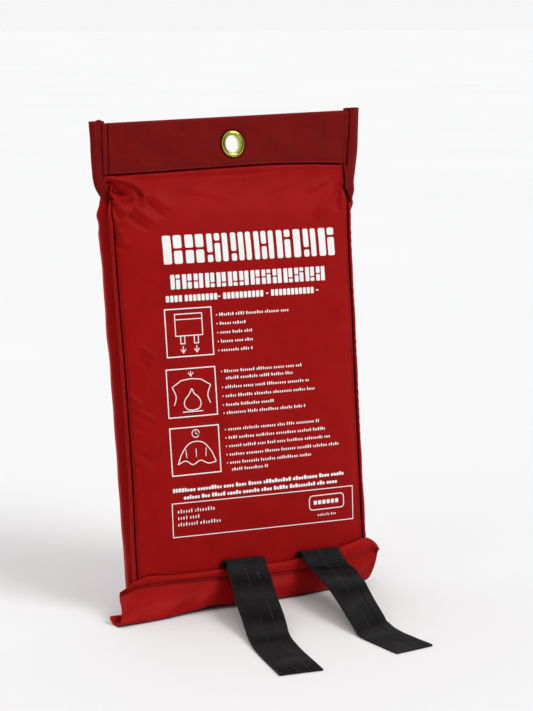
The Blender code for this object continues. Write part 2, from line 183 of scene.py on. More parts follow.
def crease(x, height, path, size, width, ends=(0.25, 0.35)):
    """A ridge, or a groove where size is negative, along a path of points in millimetres.

    It is steeper on the lower side of its path, as pulled cloth is, and fades toward its ends.
    """
    line = spline(np.array(path) * MM, 28)
    x, height = np.broadcast_arrays(x, height)
    shape = x.shape
    x, height = x.ravel(), height.ravel()
    reach = 4.0 * width * MM
    near = (x > line[:, 0].min() - reach) & (x < line[:, 0].max() + reach)
    near &= (height > line[:, 1].min() - reach) & (height < line[:, 1].max() + reach)
    depth = np.zeros(len(x))
    if not near.any():
        return depth.reshape(shape)
    px, py = x[near, None], height[near, None]
    start, run = line[:-1], np.diff(line, axis=0)
    share = ((px - start[:, 0]) * run[:, 0] + (py - start[:, 1]) * run[:, 1]) / (run**2).sum(1)
    share = np.clip(share, 0.0, 1.0)
    off_x = px - start[:, 0] - share * run[:, 0]
    off_y = py - start[:, 1] - share * run[:, 1]
    away = np.hypot(off_x, off_y)
    best = away.argmin(1)
    rows = np.arange(len(best))
    along = (best + share[rows, best]) / len(run)
    lower = off_y[rows, best] < 0
    spread = width * MM * np.where(lower, 0.65, 1.25)
    fade = smooth(0.0, ends[0], along) * (1.0 - smooth(1.0 - ends[1], 1.0, along))
    depth[near] = -size * MM * bell(away[rows, best], 0.0, spread) * fade
    return depth.reshape(shape)


def to_world(x, depth, height):
    """Points of the row frame from slope frame coordinates."""
    x, depth, height = np.broadcast_arrays(x, depth, height)
    y = FRONT_Y + depth * LEAN_COS + height * LEAN_SIN
    z = height * LEAN_COS - depth * LEAN_SIN
    return np.stack([x, y, z], -1)


def facing(sign=-1):
    """The direction out of the front face, or out of the back where sign is 1."""
    return to_world(0, sign, 0) - to_world(0, 0, 0)


# ---------------------------------------------------------------- meshes


def add_mesh(name, points, faces, material, uvs=None):
    mesh = bpy.data.meshes.new(name)
    mesh.from_pydata(points.tolist(), [], faces if isinstance(faces, list) else faces.tolist())
    if uvs is not None:
        corners = np.empty(len(mesh.loops), np.int32)
        mesh.loops.foreach_get("vertex_index", corners)
        layer = mesh.uv_layers.new(name="cloth")
        layer.data.foreach_set("uv", uvs[corners].astype(np.float32).ravel())
    mesh.materials.append(material)
    mesh.shade_smooth()
    mesh.set_sharp_from_angle(angle=math.radians(62.0))
    obj = bpy.data.objects.new(name, mesh)
    bpy.context.scene.collection.objects.link(obj)
    return obj


def surface_normals(points):
    along = np.gradient(points, axis=0)
    across = np.gradient(points, axis=1)
    normal = np.cross(across, along)
    return normal / np.maximum(np.linalg.norm(normal, axis=-1, keepdims=True), 1e-12)


def cloth_uvs(points):
    """Distances along the cloth, in metres, so that a weave keeps its real scale."""
    across = np.linalg.norm(np.diff(points, axis=1), axis=-1).mean(0)
    along = np.linalg.norm(np.diff(points, axis=0), axis=-1).mean(1)
    u = np.concatenate([[0.0], np.cumsum(across)])
    v = np.concatenate([[0.0], np.cumsum(along)])
    return np.stack(np.meshgrid(u, v), -1)


def grid_faces(rows, columns, keep=None):
    index = np.arange(rows * columns).reshape(rows, columns)
    corners = [index[:-1, :-1], index[:-1, 1:], index[1:, 1:], index[1:, :-1]]
    quads = np.stack(corners, -1).reshape(-1, 4)
    return quads if keep is None else quads[keep.ravel()]


def add_shell(name, points, thickness, material, keep=None):
    """A cloth sheet of real thickness about a grid of points; its front faces -Y at a wall."""
    rows, columns = points.shape[:2]
    offset = surface_normals(points) * thickness / 2
    quads = grid_faces(rows, columns, keep)
    edges = np.concatenate([quads[:, [a, (a + 1) % 4]] for a in range(4)])
    _, first, count = np.unique(np.sort(edges, 1), axis=0, return_index=True, return_counts=True)
    rim = edges[first[count == 1]]
    total = rows * columns
    sides = np.stack([rim[:, 1], rim[:, 0], rim[:, 0] + total, rim[:, 1] + total], -1)
    faces = np.concatenate([quads, quads[:, ::-1] + total, sides])
    places = np.concatenate([(points + offset).reshape(-1, 3), (points - offset).reshape(-1, 3)])
    uvs = np.tile(cloth_uvs(points).reshape(-1, 2), (2, 1))
    used, faces = np.unique(faces, return_inverse=True)
    return add_mesh(name, places[used], faces.reshape(-1, 4), material, uvs[used])


def ring_faces(first, rows, sides):
    """Faces of a tube made of rings of points, with a cap on each end."""
    faces = []
    for low in range(first, first + (rows - 1) * sides, sides):
        for column in range(sides):
            after = (column + 1) % sides
            faces.append((low + column, low + after, low + sides + after, low + sides + column))
    last = first + (rows - 1) * sides
    faces.append(tuple(reversed(range(first, first + sides))))
    faces.append(tuple(range(last, last + sides)))
    return faces


def add_tube(name, line, radius, material, sides=14):
    """A round cord along a line of points, with a radius for each point."""
    heading = np.gradient(line, axis=0)
    heading /= np.linalg.norm(heading, axis=1, keepdims=True)
    side = np.cross(heading, (0.0, 1.0, 0.003))
    side /= np.linalg.norm(side, axis=1, keepdims=True)
    third = np.cross(side, heading)
    angle = np.linspace(0.0, math.tau, sides, endpoint=False)
    ring = side[:, None] * np.cos(angle)[:, None] + third[:, None] * np.sin(angle)[:, None]
    points = line[:, None] + ring * radius[:, None, None]
    uvs = np.stack(np.meshgrid(angle * radius.mean(), run_length(line)), -1).reshape(-1, 2)
    return add_mesh(name, points.reshape(-1, 3), ring_faces(0, len(line), sides), material, uvs)


def add_turned(name, outline, centre_x, centre_height, material, segments=96):
    """A ring about the depth axis, pressed slightly oval, from an outline of (radius, depth)."""
    outline = np.array(outline, float)
    angle = np.linspace(0.0, math.tau, segments, endpoint=False)[:, None]
    x = centre_x + 0.955 * outline[:, 0] * np.cos(angle)
    height = centre_height + 1.045 * outline[:, 0] * np.sin(angle)
    points = to_world(x, np.broadcast_to(outline[:, 1], x.shape), height)
    count = len(outline)
    index = np.arange(segments * count).reshape(segments, count)
    turn, step = np.roll(index, -1, 0), np.roll(index, -1, 1)
    both = np.roll(turn, -1, 1)
    faces = np.stack([index, step, both, turn], -1).reshape(-1, 4)
    run = np.linalg.norm(np.diff(outline, axis=0, append=outline[:1]), axis=1).cumsum()
    u = np.broadcast_to(angle * outline[:, 0].mean(), x.shape)
    uvs = np.stack([u, np.broadcast_to(run, x.shape)], -1).reshape(-1, 2)
    return add_mesh(name, points.reshape(-1, 3), faces, material, uvs)


def add_stitches(name, line, outward, material, pitch=3.6 * MM, length=2.9 * MM, radius=0.26 * MM):
    """A row of sewn stitches along a line: short threads whose ends dive into the cloth."""
    run = run_length(line)
    outward = np.broadcast_to(outward, line.shape)
    places = np.array([0.0, 0.1, 0.3, 0.7, 0.9, 1.0])
    lifts = np.array([-1.0, 0.1, 0.7, 0.7, 0.1, -1.0]) * radius
    widths = np.array([0.5, 1.0, 1.0, 1.0, 1.0, 0.5]) * radius
    sides = 6
    angle = np.linspace(0.0, math.tau, sides, endpoint=False)
    points, faces, uvs = [], [], []
    for start in np.arange(pitch / 2, run[-1] - length, pitch):
        at = start + places * length
        middle = pick(at, run, line)
        up = pick(at, run, outward)
        side = np.cross(middle[-1] - middle[0], up[2])
        side /= np.linalg.norm(side)
        middle = middle + up * lifts[:, None]
        ring = side * np.cos(angle)[:, None] + up[2] * np.sin(angle)[:, None]
        first = sum(len(block) for block in points)
        points.append((middle[:, None] + ring * widths[:, None, None]).reshape(-1, 3))
        uvs.append(np.stack(np.meshgrid(angle * radius, at), -1).reshape(-1, 2))
        faces += ring_faces(first, len(places), sides)
    return add_mesh(name, np.concatenate(points), faces, material, np.concatenate(uvs))


def settle(piece, body, slot_name, *nodes):
    """Puts a finished piece on its body, in place of the CAD nodes that it stands for."""
    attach(piece, body)
    if nodes:
        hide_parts(*nodes)
    return piece


# ---------------------------------------------------------------- materials


def add_node(tree, kind, settings=(), **inputs):
    """A shader node. Each input is a value or a socket; i0 is its first, and _ stands for a space."""
    node = tree.nodes.new("ShaderNode" + kind)
    for key, value in dict(settings).items():
        setattr(node, key, value)
    for key, value in inputs.items():
        by_number = key[0] == "i" and key[1:].isdigit()
        socket = node.inputs[int(key[1:]) if by_number else key.replace("_", " ")]
        if isinstance(value, bpy.types.NodeSocket):
            tree.links.new(value, socket)
        else:
            socket.default_value = value
    return node


def math_node(tree, operation, first, second=0.0):
    return add_node(tree, "Math", {"operation": operation}, i0=first, i1=second).outputs[0]


def times(tree, first, second):
    return math_node(tree, "MULTIPLY", first, second)


def new_material(name, **values):
    material = bpy.data.materials.new(name)
    material.use_nodes = True
    tree = material.node_tree
    shader = tree.nodes["Principled BSDF"]
    for key, value in values.items():
        shader.inputs[key.replace("_", " ")].default_value = value
    return material, tree, shader


def dress(tree, shader, colour, roughness, normal):
    """Links the three inputs that every surface here varies."""
    for name, socket in (("Base Color", colour), ("Roughness", roughness), ("Normal", normal)):
        tree.links.new(socket, shader.inputs[name])


def cloth_map(tree):
    return add_node(tree, "UVMap", {"uv_map": "cloth"}).outputs["UV"]


def wave(tree, vector, period, direction="X"):
    """Threads side by side, one every period metres."""
    scale = math.tau / 20.0 / period
    settings = {"wave_type": "BANDS", "bands_direction": direction, "wave_profile": "SIN"}
    return add_node(tree, "TexWave", settings, Vector=vector, Scale=scale).outputs["Fac"]


def noise(tree, vector, size, detail=3.0, roughness=0.55):
    """Cloudy variation with features of about size metres."""
    node = add_node(tree, "TexNoise", Vector=vector, Scale=1.0 / size, Detail=detail, Roughness=roughness)
    return node.outputs["Fac"]


def remap(tree, value, low, high, to_low=0.0, to_high=1.0):
    inputs = {"Value": value, "From_Min": low, "From_Max": high, "To_Min": to_low, "To_Max": to_high}
    return add_node(tree, "MapRange", **inputs).outputs["Result"]


def tint(tree, factor, first, second):
    """A colour that goes from first to second as factor goes from 0 to 1."""
    node = add_node(tree, "Mix", {"data_type": "RGBA"}, i0=factor)
    node.inputs[6].default_value = (*first, 1.0)
    node.inputs[7].default_value = (*second, 1.0)
    return node.outputs[2]


def blend_colours(tree, factor, first, second):
    node = add_node(tree, "Mix", {"data_type": "RGBA"}, i0=factor, i6=first)
    node.inputs[7].default_value = (*second, 1.0)
    return node.outputs[2]


def bump(tree, height, distance, strength, below=None):
    node = add_node(tree, "Bump", Height=height, Distance=distance, Strength=strength)
    if below is not None:
        tree.links.new(below, node.inputs["Normal"])
    return node.outputs["Normal"]


def worn_edges(tree, low=0.53, high=0.62):
    """1 along sharp ridges, where handling rubs the surface."""
    point = add_node(tree, "NewGeometry").outputs["Pointiness"]
    return remap(tree, point, low, high)


# The colour of the painted shade in seams and tight folds
SEAM_SHADE_COLOUR = (0.030, 0.0008, 0.0012)


def painted_seam_shade(tree):
    """Painted shade in seams and tight folds, where the surface is close to another."""
    open_share = add_node(tree, "AmbientOcclusion", {"samples": 8}, Distance=2.6 * MM).outputs["AO"]
    return remap(tree, open_share, 0.45, 0.97, 0.95, 0.0)


def coated_cloth(name, dark, light, lighter_marks, roughness):
    """Plain woven cloth with a satin coating: fine weave, faint mottling, scuffed ridges and painted shade
    in seams and tight folds.
    """
    material, tree, shader = new_material(
        name,
        Specular_IOR_Level=0.15,
        Specular_Tint=(1.0, 0.30, 0.28, 1.0),
        Sheen_Weight=0.05,
        Sheen_Roughness=0.45,
        Sheen_Tint=(0.85, 0.12, 0.10, 1.0),
    )
    uv = cloth_map(tree)
    weave = times(tree, wave(tree, uv, 0.55 * MM, "X"), wave(tree, uv, 0.55 * MM, "Y"))
    cloud = noise(tree, uv, 26 * MM, 4.0)
    grain = noise(tree, uv, 2.2 * MM, 5.0, 0.6)
    crinkle = noise(tree, uv, 7 * MM, 4.0, 0.5)
    mottle = math_node(tree, "ADD", times(tree, cloud, 0.65), times(tree, grain, 0.35))
    colour = tint(tree, remap(tree, mottle, 0.32, 0.68), dark, light)
    colour = blend_colours(tree, times(tree, worn_edges(tree), 0.35), colour, lighter_marks)
    # Painted shade in seams and tight folds, darkest where another surface is closest
    colour = blend_colours(tree, painted_seam_shade(tree), colour, SEAM_SHADE_COLOUR)
    rough = remap(tree, grain, 0.3, 0.7, roughness - 0.07, roughness + 0.08)
    normal = bump(tree, crinkle, 0.5 * MM, 0.28)
    normal = bump(tree, grain, 0.12 * MM, 0.30, normal)
    normal = bump(tree, weave, 0.06 * MM, 0.45, normal)
    dress(tree, shader, colour, rough, normal)
    return material


def webbing_material():
    """Black woven webbing: close ribs across it with painted shade in their valleys and painted highlight on
    their crests, a twill line, thicker selvedges, scuffed ridges and a painted highlight along each fold
    line.
    """
    material, tree, shader = new_material(
        "black_webbing",
        Specular_IOR_Level=0.09,
        Sheen_Weight=0.02,
        Sheen_Roughness=0.5,
        Sheen_Tint=(0.5, 0.5, 0.52, 1.0),
    )
    uv = cloth_map(tree)
    ribs = wave(tree, uv, RIB_PITCH, "Y")
    ends = wave(tree, uv, 0.9 * MM, "X")
    twill = wave(tree, uv, 2.6 * MM, "DIAGONAL")
    fuzz = noise(tree, uv, 0.8 * MM, 4.0, 0.65)
    cloud = noise(tree, uv, 14 * MM, 3.0)
    relief = times(tree, ribs, math_node(tree, "ADD", times(tree, ends, 0.5), 0.5))
    # Painted shade in the ribs' valleys and painted highlight on their crests, mixed with a cloudy tone
    shade = remap(tree, math_node(tree, "ADD", times(tree, ribs, 0.7), times(tree, cloud, 0.45)), 0.35, 0.95)
    colour = tint(tree, shade, (0.0004, 0.0004, 0.0006), (0.0215, 0.0210, 0.0220))
    lighter_marks = times(tree, worn_edges(tree, 0.54, 0.66), 0.3)
    across = add_node(tree, "SeparateXYZ", Vector=uv).outputs["X"]
    # A painted highlight along each fold line, uneven along its length
    for place in FOLD_LINES:
        away = math_node(tree, "SUBTRACT", across, (place + 1.0) * WEBBING_WIDTH / 2)
        away = math_node(tree, "ABSOLUTE", away)
        fold_highlight = remap(tree, away, 0.15 * MM, 0.65 * MM, 0.55, 0.0)
        fold_highlight = times(tree, fold_highlight, remap(tree, cloud, 0.40, 0.60, 0.1, 1.0))
        lighter_marks = math_node(tree, "MAXIMUM", lighter_marks, fold_highlight)
    # Lighter on scuffed ridges, which is wear, and along the fold lines, which is painted highlight
    colour = blend_colours(tree, lighter_marks, colour, (0.06, 0.06, 0.062))
    normal = bump(tree, twill, 0.06 * MM, 0.20)
    normal = bump(tree, relief, 0.40 * MM, 0.9, normal)
    normal = bump(tree, fuzz, 0.10 * MM, 0.40, normal)
    dress(tree, shader, colour, remap(tree, fuzz, 0.3, 0.7, 0.58, 0.78), normal)
    return material


def thread_material(name, dark, light):
    """Twisted sewing thread."""
    material, tree, shader = new_material(name, Specular_IOR_Level=0.25)
    uv = cloth_map(tree)
    twist = wave(tree, uv, 0.5 * MM, "DIAGONAL")
    fuzz = noise(tree, uv, 0.3 * MM, 3.0)
    rough = remap(tree, fuzz, 0.3, 0.7, 0.6, 0.85)
    dress(tree, shader, tint(tree, twist, dark, light), rough, bump(tree, twist, 0.08 * MM, 0.6))
    return material


def brass_material():
    """Polished brass with fine turning marks, finger dulling and a little tarnish."""
    material, tree, shader = new_material("brass", Metallic=1.0, Coat_Weight=0.15, Coat_Roughness=0.08)
    uv = cloth_map(tree)
    stretched = add_node(tree, "Mapping", Vector=uv, Scale=(0.08, 1.0, 1.0)).outputs[0]
    lines = noise(tree, stretched, 0.25 * MM, 4.0, 0.6)
    dull = noise(tree, uv, 3.0 * MM, 4.0, 0.6)
    colour = tint(tree, remap(tree, dull, 0.35, 0.75), (0.47, 0.52, 0.08), (0.33, 0.33, 0.05))
    colour = blend_colours(tree, times(tree, worn_edges(tree), 0.4), colour, (0.75, 0.80, 0.30))
    dress(tree, shader, colour, remap(tree, dull, 0.3, 0.7, 0.07, 0.16), bump(tree, lines, 0.05 * MM, 0.25))
    return material


def ink_material():
    """White screen print, very slightly broken where the weave shows through."""
    material, tree, shader = new_material("white_print", Specular_IOR_Level=0.25)
    uv = cloth_map(tree)
    speck = noise(tree, uv, 0.9 * MM, 5.0, 0.7)
    cloud = noise(tree, uv, 18 * MM, 3.0)
    colour = tint(tree, remap(tree, cloud, 0.3, 0.7), (0.88, 0.86, 0.85), (0.96, 0.955, 0.95))
    colour = blend_colours(tree, remap(tree, speck, 0.70, 0.78, 0.0, 0.55), colour, (0.55, 0.12, 0.11))
    dress(tree, shader, colour, remap(tree, speck, 0.3, 0.7, 0.42, 0.58), bump(tree, speck, 0.04 * MM, 0.3))
    return material


def tape_material():
    """The fuzzy face of hook and loop tape."""
    look = {"Specular_IOR_Level": 0.2, "Sheen_Weight": 0.3, "Sheen_Roughness": 0.6}
    material, tree, shader = new_material("black_tape", **look)
    place = cloth_map(tree)
    loops = add_node(tree, "TexVoronoi", Vector=place, Scale=1100.0).outputs["Distance"]
    fuzz = noise(tree, place, 1.5 * MM, 4.0)
    colour = tint(tree, loops, (0.03, 0.03, 0.031), (0.008, 0.008, 0.009))
    dress(tree, shader, colour, remap(tree, fuzz, 0.3, 0.7, 0.75, 0.95), bump(tree, loops, 0.4 * MM, 0.8))
    return material


def glass_material():
    """Off-white glass cloth in a coarse plain weave."""
    look = {"Specular_IOR_Level": 0.4, "Sheen_Weight": 0.15, "Sheen_Roughness": 0.4}
    material, tree, shader = new_material("glass_cloth", **look)
    uv = cloth_map(tree)
    weave = times(tree, wave(tree, uv, 1.3 * MM, "X"), wave(tree, uv, 1.3 * MM, "Y"))
    cloud = noise(tree, uv, 30 * MM, 4.0)
    colour = tint(tree, remap(tree, cloud, 0.3, 0.7), (0.66, 0.64, 0.57), (0.80, 0.79, 0.73))
    colour = blend_colours(tree, remap(tree, weave, 0.0, 0.25, 0.35, 0.0), colour, (0.42, 0.40, 0.34))
    dress(tree, shader, colour, remap(tree, cloud, 0.3, 0.7, 0.55, 0.75), bump(tree, weave, 0.25 * MM, 0.7))
    return material


# Each coated cloth's darker and lighter tint, the colour of its scuffed ridges and its roughness
RED_LOOK = (0.272, 0.0034, 0.0036), (0.345, 0.0052, 0.0050), (0.46, 0.018, 0.016), 0.48
MAROON_LOOK = (0.140, 0.0034, 0.0038), (0.185, 0.0050, 0.0052), (0.28, 0.015, 0.015), 0.58

RED = coated_cloth("red_cloth", *RED_LOOK)
MAROON = coated_cloth("maroon_cloth", *MAROON_LOOK)
RED_THREAD = thread_material("red_thread", (0.13, 0.004, 0.004), (0.27, 0.008, 0.008))
BLACK_THREAD = thread_material("black_thread", (0.012, 0.012, 0.012), (0.035, 0.035, 0.036))
BLACK_WEBBING = webbing_material()
BLACK_TAPE = tape_material()
GLASS = glass_material()
BRASS = brass_material()
WHITE_PRINT = ink_material()


# ---------------------------------------------------------------- the pouch's shape

# The panel's side edges, as (height, x) points
LEFT_EDGE = [(10, -106.6), (47, -107.3), (100, -106.2), (160, -106.1), (210, -106.6), (260, -107.6),
             (300, -108.0), (320, -108.1), (331, -108.7), (341, -106.4)]
RIGHT_EDGE = [(10, 105.0), (73, 105.0), (176, 106.4), (226, 107.3), (298, 108.3), (324, 109.4),
              (341, 110.6)]

# Creases of the front panel: points (x, height), how far they stand out, how wide they are, and for
# some the shares of their length over which they fade at each end
CREASES = [
    ([(-114, 360), (-104, 357.5), (-92, 354.5), (-83, 350), (-78.5, 343), (-80.5, 336), (-88, 331)],
     4.2, 2.0),
    ([(-112, 355), (-104, 349), (-96, 345), (-87, 346)], -6.0, 3.4),
    ([(-100, 340), (-92, 339), (-85, 341)], -3.0, 3.0),
    ([(-112, 349), (-106, 342), (-99, 333)], 3.0, 2.0),
    ([(-88, 331), (-95, 330), (-101, 334)], 1.4, 2.2),
    ([(-108, 337), (-103, 330), (-101, 322)], -1.6, 2.2),
    ([(-78, 340), (-70, 332), (-60, 323)], -1.7, 2.4),
    ([(-72, 345), (-62, 336), (-50, 328)], 0.9, 4.5),
    ([(-96, 330), (-86, 321), (-75, 313)], -1.9, 2.6),
    ([(-91, 336), (-80, 327), (-66, 317)], 1.4, 2.4),
    ([(-108, 322), (-106.5, 312), (-104.5, 303), (-98, 298)], -1.5, 2.0),
    ([(-102, 318), (-100, 308), (-94, 298)], 0.9, 2.6),
    ([(-94, 220), (-87, 216), (-77, 208)], 1.3, 1.6),
    ([(-96, 212), (-90, 207), (-84, 198)], -1.0, 2.0),
    ([(-106, 184), (-100, 177), (-91, 171)], 1.7, 1.8),
    ([(-101, 169), (-91, 163.5), (-79, 156)], 1.5, 1.5),
    ([(-105, 160), (-98, 154), (-90, 149)], -1.0, 2.0),
    ([(-103, 136), (-94, 130.5), (-83, 122)], -1.2, 1.3),
    ([(-104, 128), (-97, 124), (-88, 117)], 0.7, 2.2),
    ([(98, 347), (88, 333), (74, 316)], 1.3, 3.4),
    ([(94, 351), (84, 347), (70, 340)], 1.0, 2.8),
    ([(105, 352), (100, 338), (96, 320)], -1.5, 3.0),
    ([(105.5, 347), (107.5, 340), (111, 330)], -2.4, 2.4),
    ([(103, 344), (103.5, 334), (102, 322)], 1.2, 2.2),
    ([(-112, 360.4), (-70, 361.8), (-26, 363.3), (38, 365.2), (75, 364.8), (107, 363.3)],
     -2.0, 1.0, (0.02, 0.02)),
    ([(-109, 357.2), (-70, 358.4), (-26, 360.0), (38, 361.8), (75, 361.6), (106, 360.4)],
     0.5, 1.0, (0.02, 0.02)),
    ([(-40, 356), (0, 357), (60, 359)], -0.35, 2.2),
    ([(-60, 350), (-20, 343), (10, 333)], 0.4, 5.0),
    ([(66, 352), (40, 344), (22, 334)], 0.4, 5.0),
]


def edge_x(height, sign):
    return through(RIGHT_EDGE if sign > 0 else LEFT_EDGE, height)


# The header's lower edge, as (x, height) points
HEADER_SEAM = [(-112, 361.2), (-70, 362.4), (-26, 363.9), (38, 365.8), (75, 365.4), (110, 363.9)]


def header_seam(x):
    return through(HEADER_SEAM, x)


def header_top(x):
    return 405.8 * MM + 0.028 * x


def front_face(x, height):
    """Depth of the front panel's outer face: a flat pillow, puckered and drawn in at its edges."""
    left, right = edge_x(height, -1), edge_x(height, 1)
    share = np.clip((2 * x - left - right) / (right - left), -1.0, 1.0)
    rise = smooth(0.030, 0.110, height) * (1.0 - smooth(0.285, 0.350, height))
    pillow = 2.0 * (1.0 - share**2) + 2.8 * (1.0 - np.abs(share) ** 8)
    depth = 3.5 * MM * smooth(0.322, 0.360, height) - pillow * rise * MM
    depth = depth + 0.22 * MM * ripple(x, height, 0.060, 3) * rise
    depth = depth + 0.05 * MM * ripple(x, height, 0.017, 5)
    inset = np.minimum(x - left, right - x)
    pucker = np.sin(height * 870 + 2.0 * np.sin(height * 61)) * np.exp(-np.maximum(inset, 0.0) / 0.0045)
    depth = depth + 0.16 * MM * pucker * (1.0 - smooth(0.330, 0.345, height))
    drop = 3.3 * MM * (1.0 - smooth(1.4 * MM, 2.8 * MM, inset)) + 0.7 * MM * bell(inset, 0.0, 5.0 * MM)
    depth = depth + drop * (1.0 - smooth(0.328, 0.343, height))
    for path, size, width, *ends in CREASES:
        depth = depth + crease(x, height, path, size, width, *ends)
    return depth


def back_edge_depth(height):
    return GUSSET_DEPTH + MM - 15.3 * MM * smooth(0.312, 0.358, height)


def heel_share(x):
    return np.maximum(0.0, 1.0 - (x / HEEL_CORNER) ** 4)


def back_face(x, height):
    """Depth of the back panel, with the belly and the heel that the stuffed blanket gives it."""
    reach = 1.0 - (x / (107.5 * MM)) ** 2
    rise = smooth(HEEL_HEIGHT, 0.085, height) * (1.0 - smooth(0.300, 0.356, height))
    slack = mix(1.0, 0.75, smooth(0.085, 0.30, height))
    low = (1.0 - smooth(HEEL_HEIGHT, 0.085, height)) ** 1.5
    heel = (HEEL_DEPTH - GUSSET_DEPTH - MM) * low * heel_share(x)
    depth = back_edge_depth(height) + heel + BELLY * reach * rise * slack
    return depth + 0.5 * MM * ripple(x, height, 0.05, 11) * rise * np.maximum(reach, 0.0)


def stepped(stops):
    """Numbers from (low, high, count) stretches, so that a grid is finest where a surface bends."""
    stretches = [np.linspace(low, high, count)[:-1] for low, high, count in stops]
    return np.concatenate([*stretches, [stops[-1][1]]])


def make_front_panel():
    height = stepped([(MOUTH, 0.29, 140), (0.29, PANEL_TOP, 90)])[:, None]
    share = stepped([(0.0, 0.02, 14), (0.02, 0.22, 66), (0.22, 0.85, 80), (0.85, 0.98, 36), (0.98, 1.0, 14)])
    left = mix(edge_x(height, -1) + 0.9 * MM, -110.5 * MM, smooth(0.340, 0.356, height))
    right = mix(edge_x(height, 1) - 0.9 * MM, 107.2 * MM, smooth(0.336, 0.345, height))
    x = mix(left, right, share)
    depth = front_face(x, height) + CLOTH / 2
    points = to_world(x, depth, np.broadcast_to(height, x.shape))
    panel = add_shell("front_panel_cloth", points, CLOTH, RED)
    settle(panel, "pouch", "red_cloth", "front_panel")


def make_back_panel():
    height = np.linspace(HEEL_HEIGHT, PANEL_TOP, 150)[:, None]
    half = mix(107.6 * MM, 107 * MM, smooth(0.345, 0.362, height))
    x = half * np.linspace(1.0, -1.0, 110)
    depth = back_face(x, height)
    points = to_world(x, depth, np.broadcast_to(height, x.shape))
    panel = add_shell("back_panel_cloth", points, CLOTH, RED)
    settle(panel, "pouch", "red_cloth", "back_panel")


# How far the middle of a side wall stands out, as (height, distance) points
GUSSET_CROWN = [(18, 110.4), (79, 111.2), (112, 111.5), (178, 112.0), (243, 113.3), (296, 113.9),
                (314, 114.4), (324, 115.4), (332, 116.6), (338, 114.6), (344, 112.6), (349, 113.4),
                (354, 115.2)]


def gusset_out(height, share, sign):
    """How far the side wall stands out: from the piping to a soft crown and in to the back."""
    front = np.abs(edge_x(height, sign)) - 0.4 * MM
    back = 108.2 * MM
    crown = through(GUSSET_CROWN, height)
    rise = smooth(0.11, 0.36, share)
    fall = smooth(0.55, 1.0, share)
    out = mix(front, crown, rise) - (crown - back) * fall
    wobble = 0.45 * ripple(height, share * 0.02, 0.045, 17 if sign < 0 else 19)
    folds = 0.6 * np.sin(height * 420 + 4 * share) * smooth(0.30, 0.33, height)
    return out + (wobble + folds) * MM * np.sin(math.pi * share)


def make_gusset(side, sign):
    """A side wall, whose front edge is tucked in behind the piping so that the seam is closed."""
    height = np.linspace(HEEL_HEIGHT + 2 * MM, 0.354, 220)[:, None]
    tuck = np.concatenate([np.linspace(1.0, 0.0, 7)[:-1], np.zeros(40)])
    share = np.concatenate([np.zeros(6), np.linspace(0.0, 1.0, 40)])
    front = 3.6 * MM + 1.3 * MM * smooth(0.322, 0.352, height)
    back = back_edge_depth(height) - 0.1 * MM
    depth = mix(front, np.maximum(back, front + 0.8 * MM), share) - 2.1 * MM * tuck
    height = np.broadcast_to(height, depth.shape)
    x = sign * (gusset_out(height, share, sign) - 0.5 * MM * tuck)
    points = to_world(x, depth, height)
    points = points if sign > 0 else points[:, ::-1]
    gusset = add_shell(f"{side}_gusset_cloth", points, CLOTH, RED)
    settle(gusset, "pouch", "red_cloth", f"{side}_gusset")


PIPING_TOP = {"left": 341 * MM, "right": 331 * MM}


def make_piping(side, sign):
    """The corded seam down a front edge, with the small waves that its stitching pulls in."""
    top = PIPING_TOP[side]
    height = np.linspace(MOUTH + 3 * MM, top, 300)
    x = edge_x(height, sign) + sign * 0.12 * MM * np.sin(height * 870 + 1.0)
    depth = 0.7 * MM + 2.4 * MM * smooth(0.322, 0.345, height) + 0.1 * MM * np.sin(height * 410)
    radius = PIPING_RADIUS * (1.0 + 0.05 * np.sin(height * 870))
    radius = radius * mix(1.0, 0.55, smooth(top - 7 * MM, top, height))
    piping = add_tube(f"{side}_piping_cord", to_world(x, depth, height), radius, RED)
    settle(piping, "pouch", "red_cloth", f"{side}_piping")
    inner = x - sign * 4.2 * MM
    face = front_face(inner, height)
    line = to_world(inner, face, height)[:-14]
    row = add_stitches(f"{side}_piping_stitches", line, facing(), RED_THREAD)
    settle(row, "pouch", "red_thread")


# ---------------------------------------------------------------- the header


SIDE_ROWS = 42
SEAM_ROW = 3
EYELET_CUT = 9.0 * MM


def eyelet_centre():
    low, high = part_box("eyelet")
    return (low.x + high.x) / 2


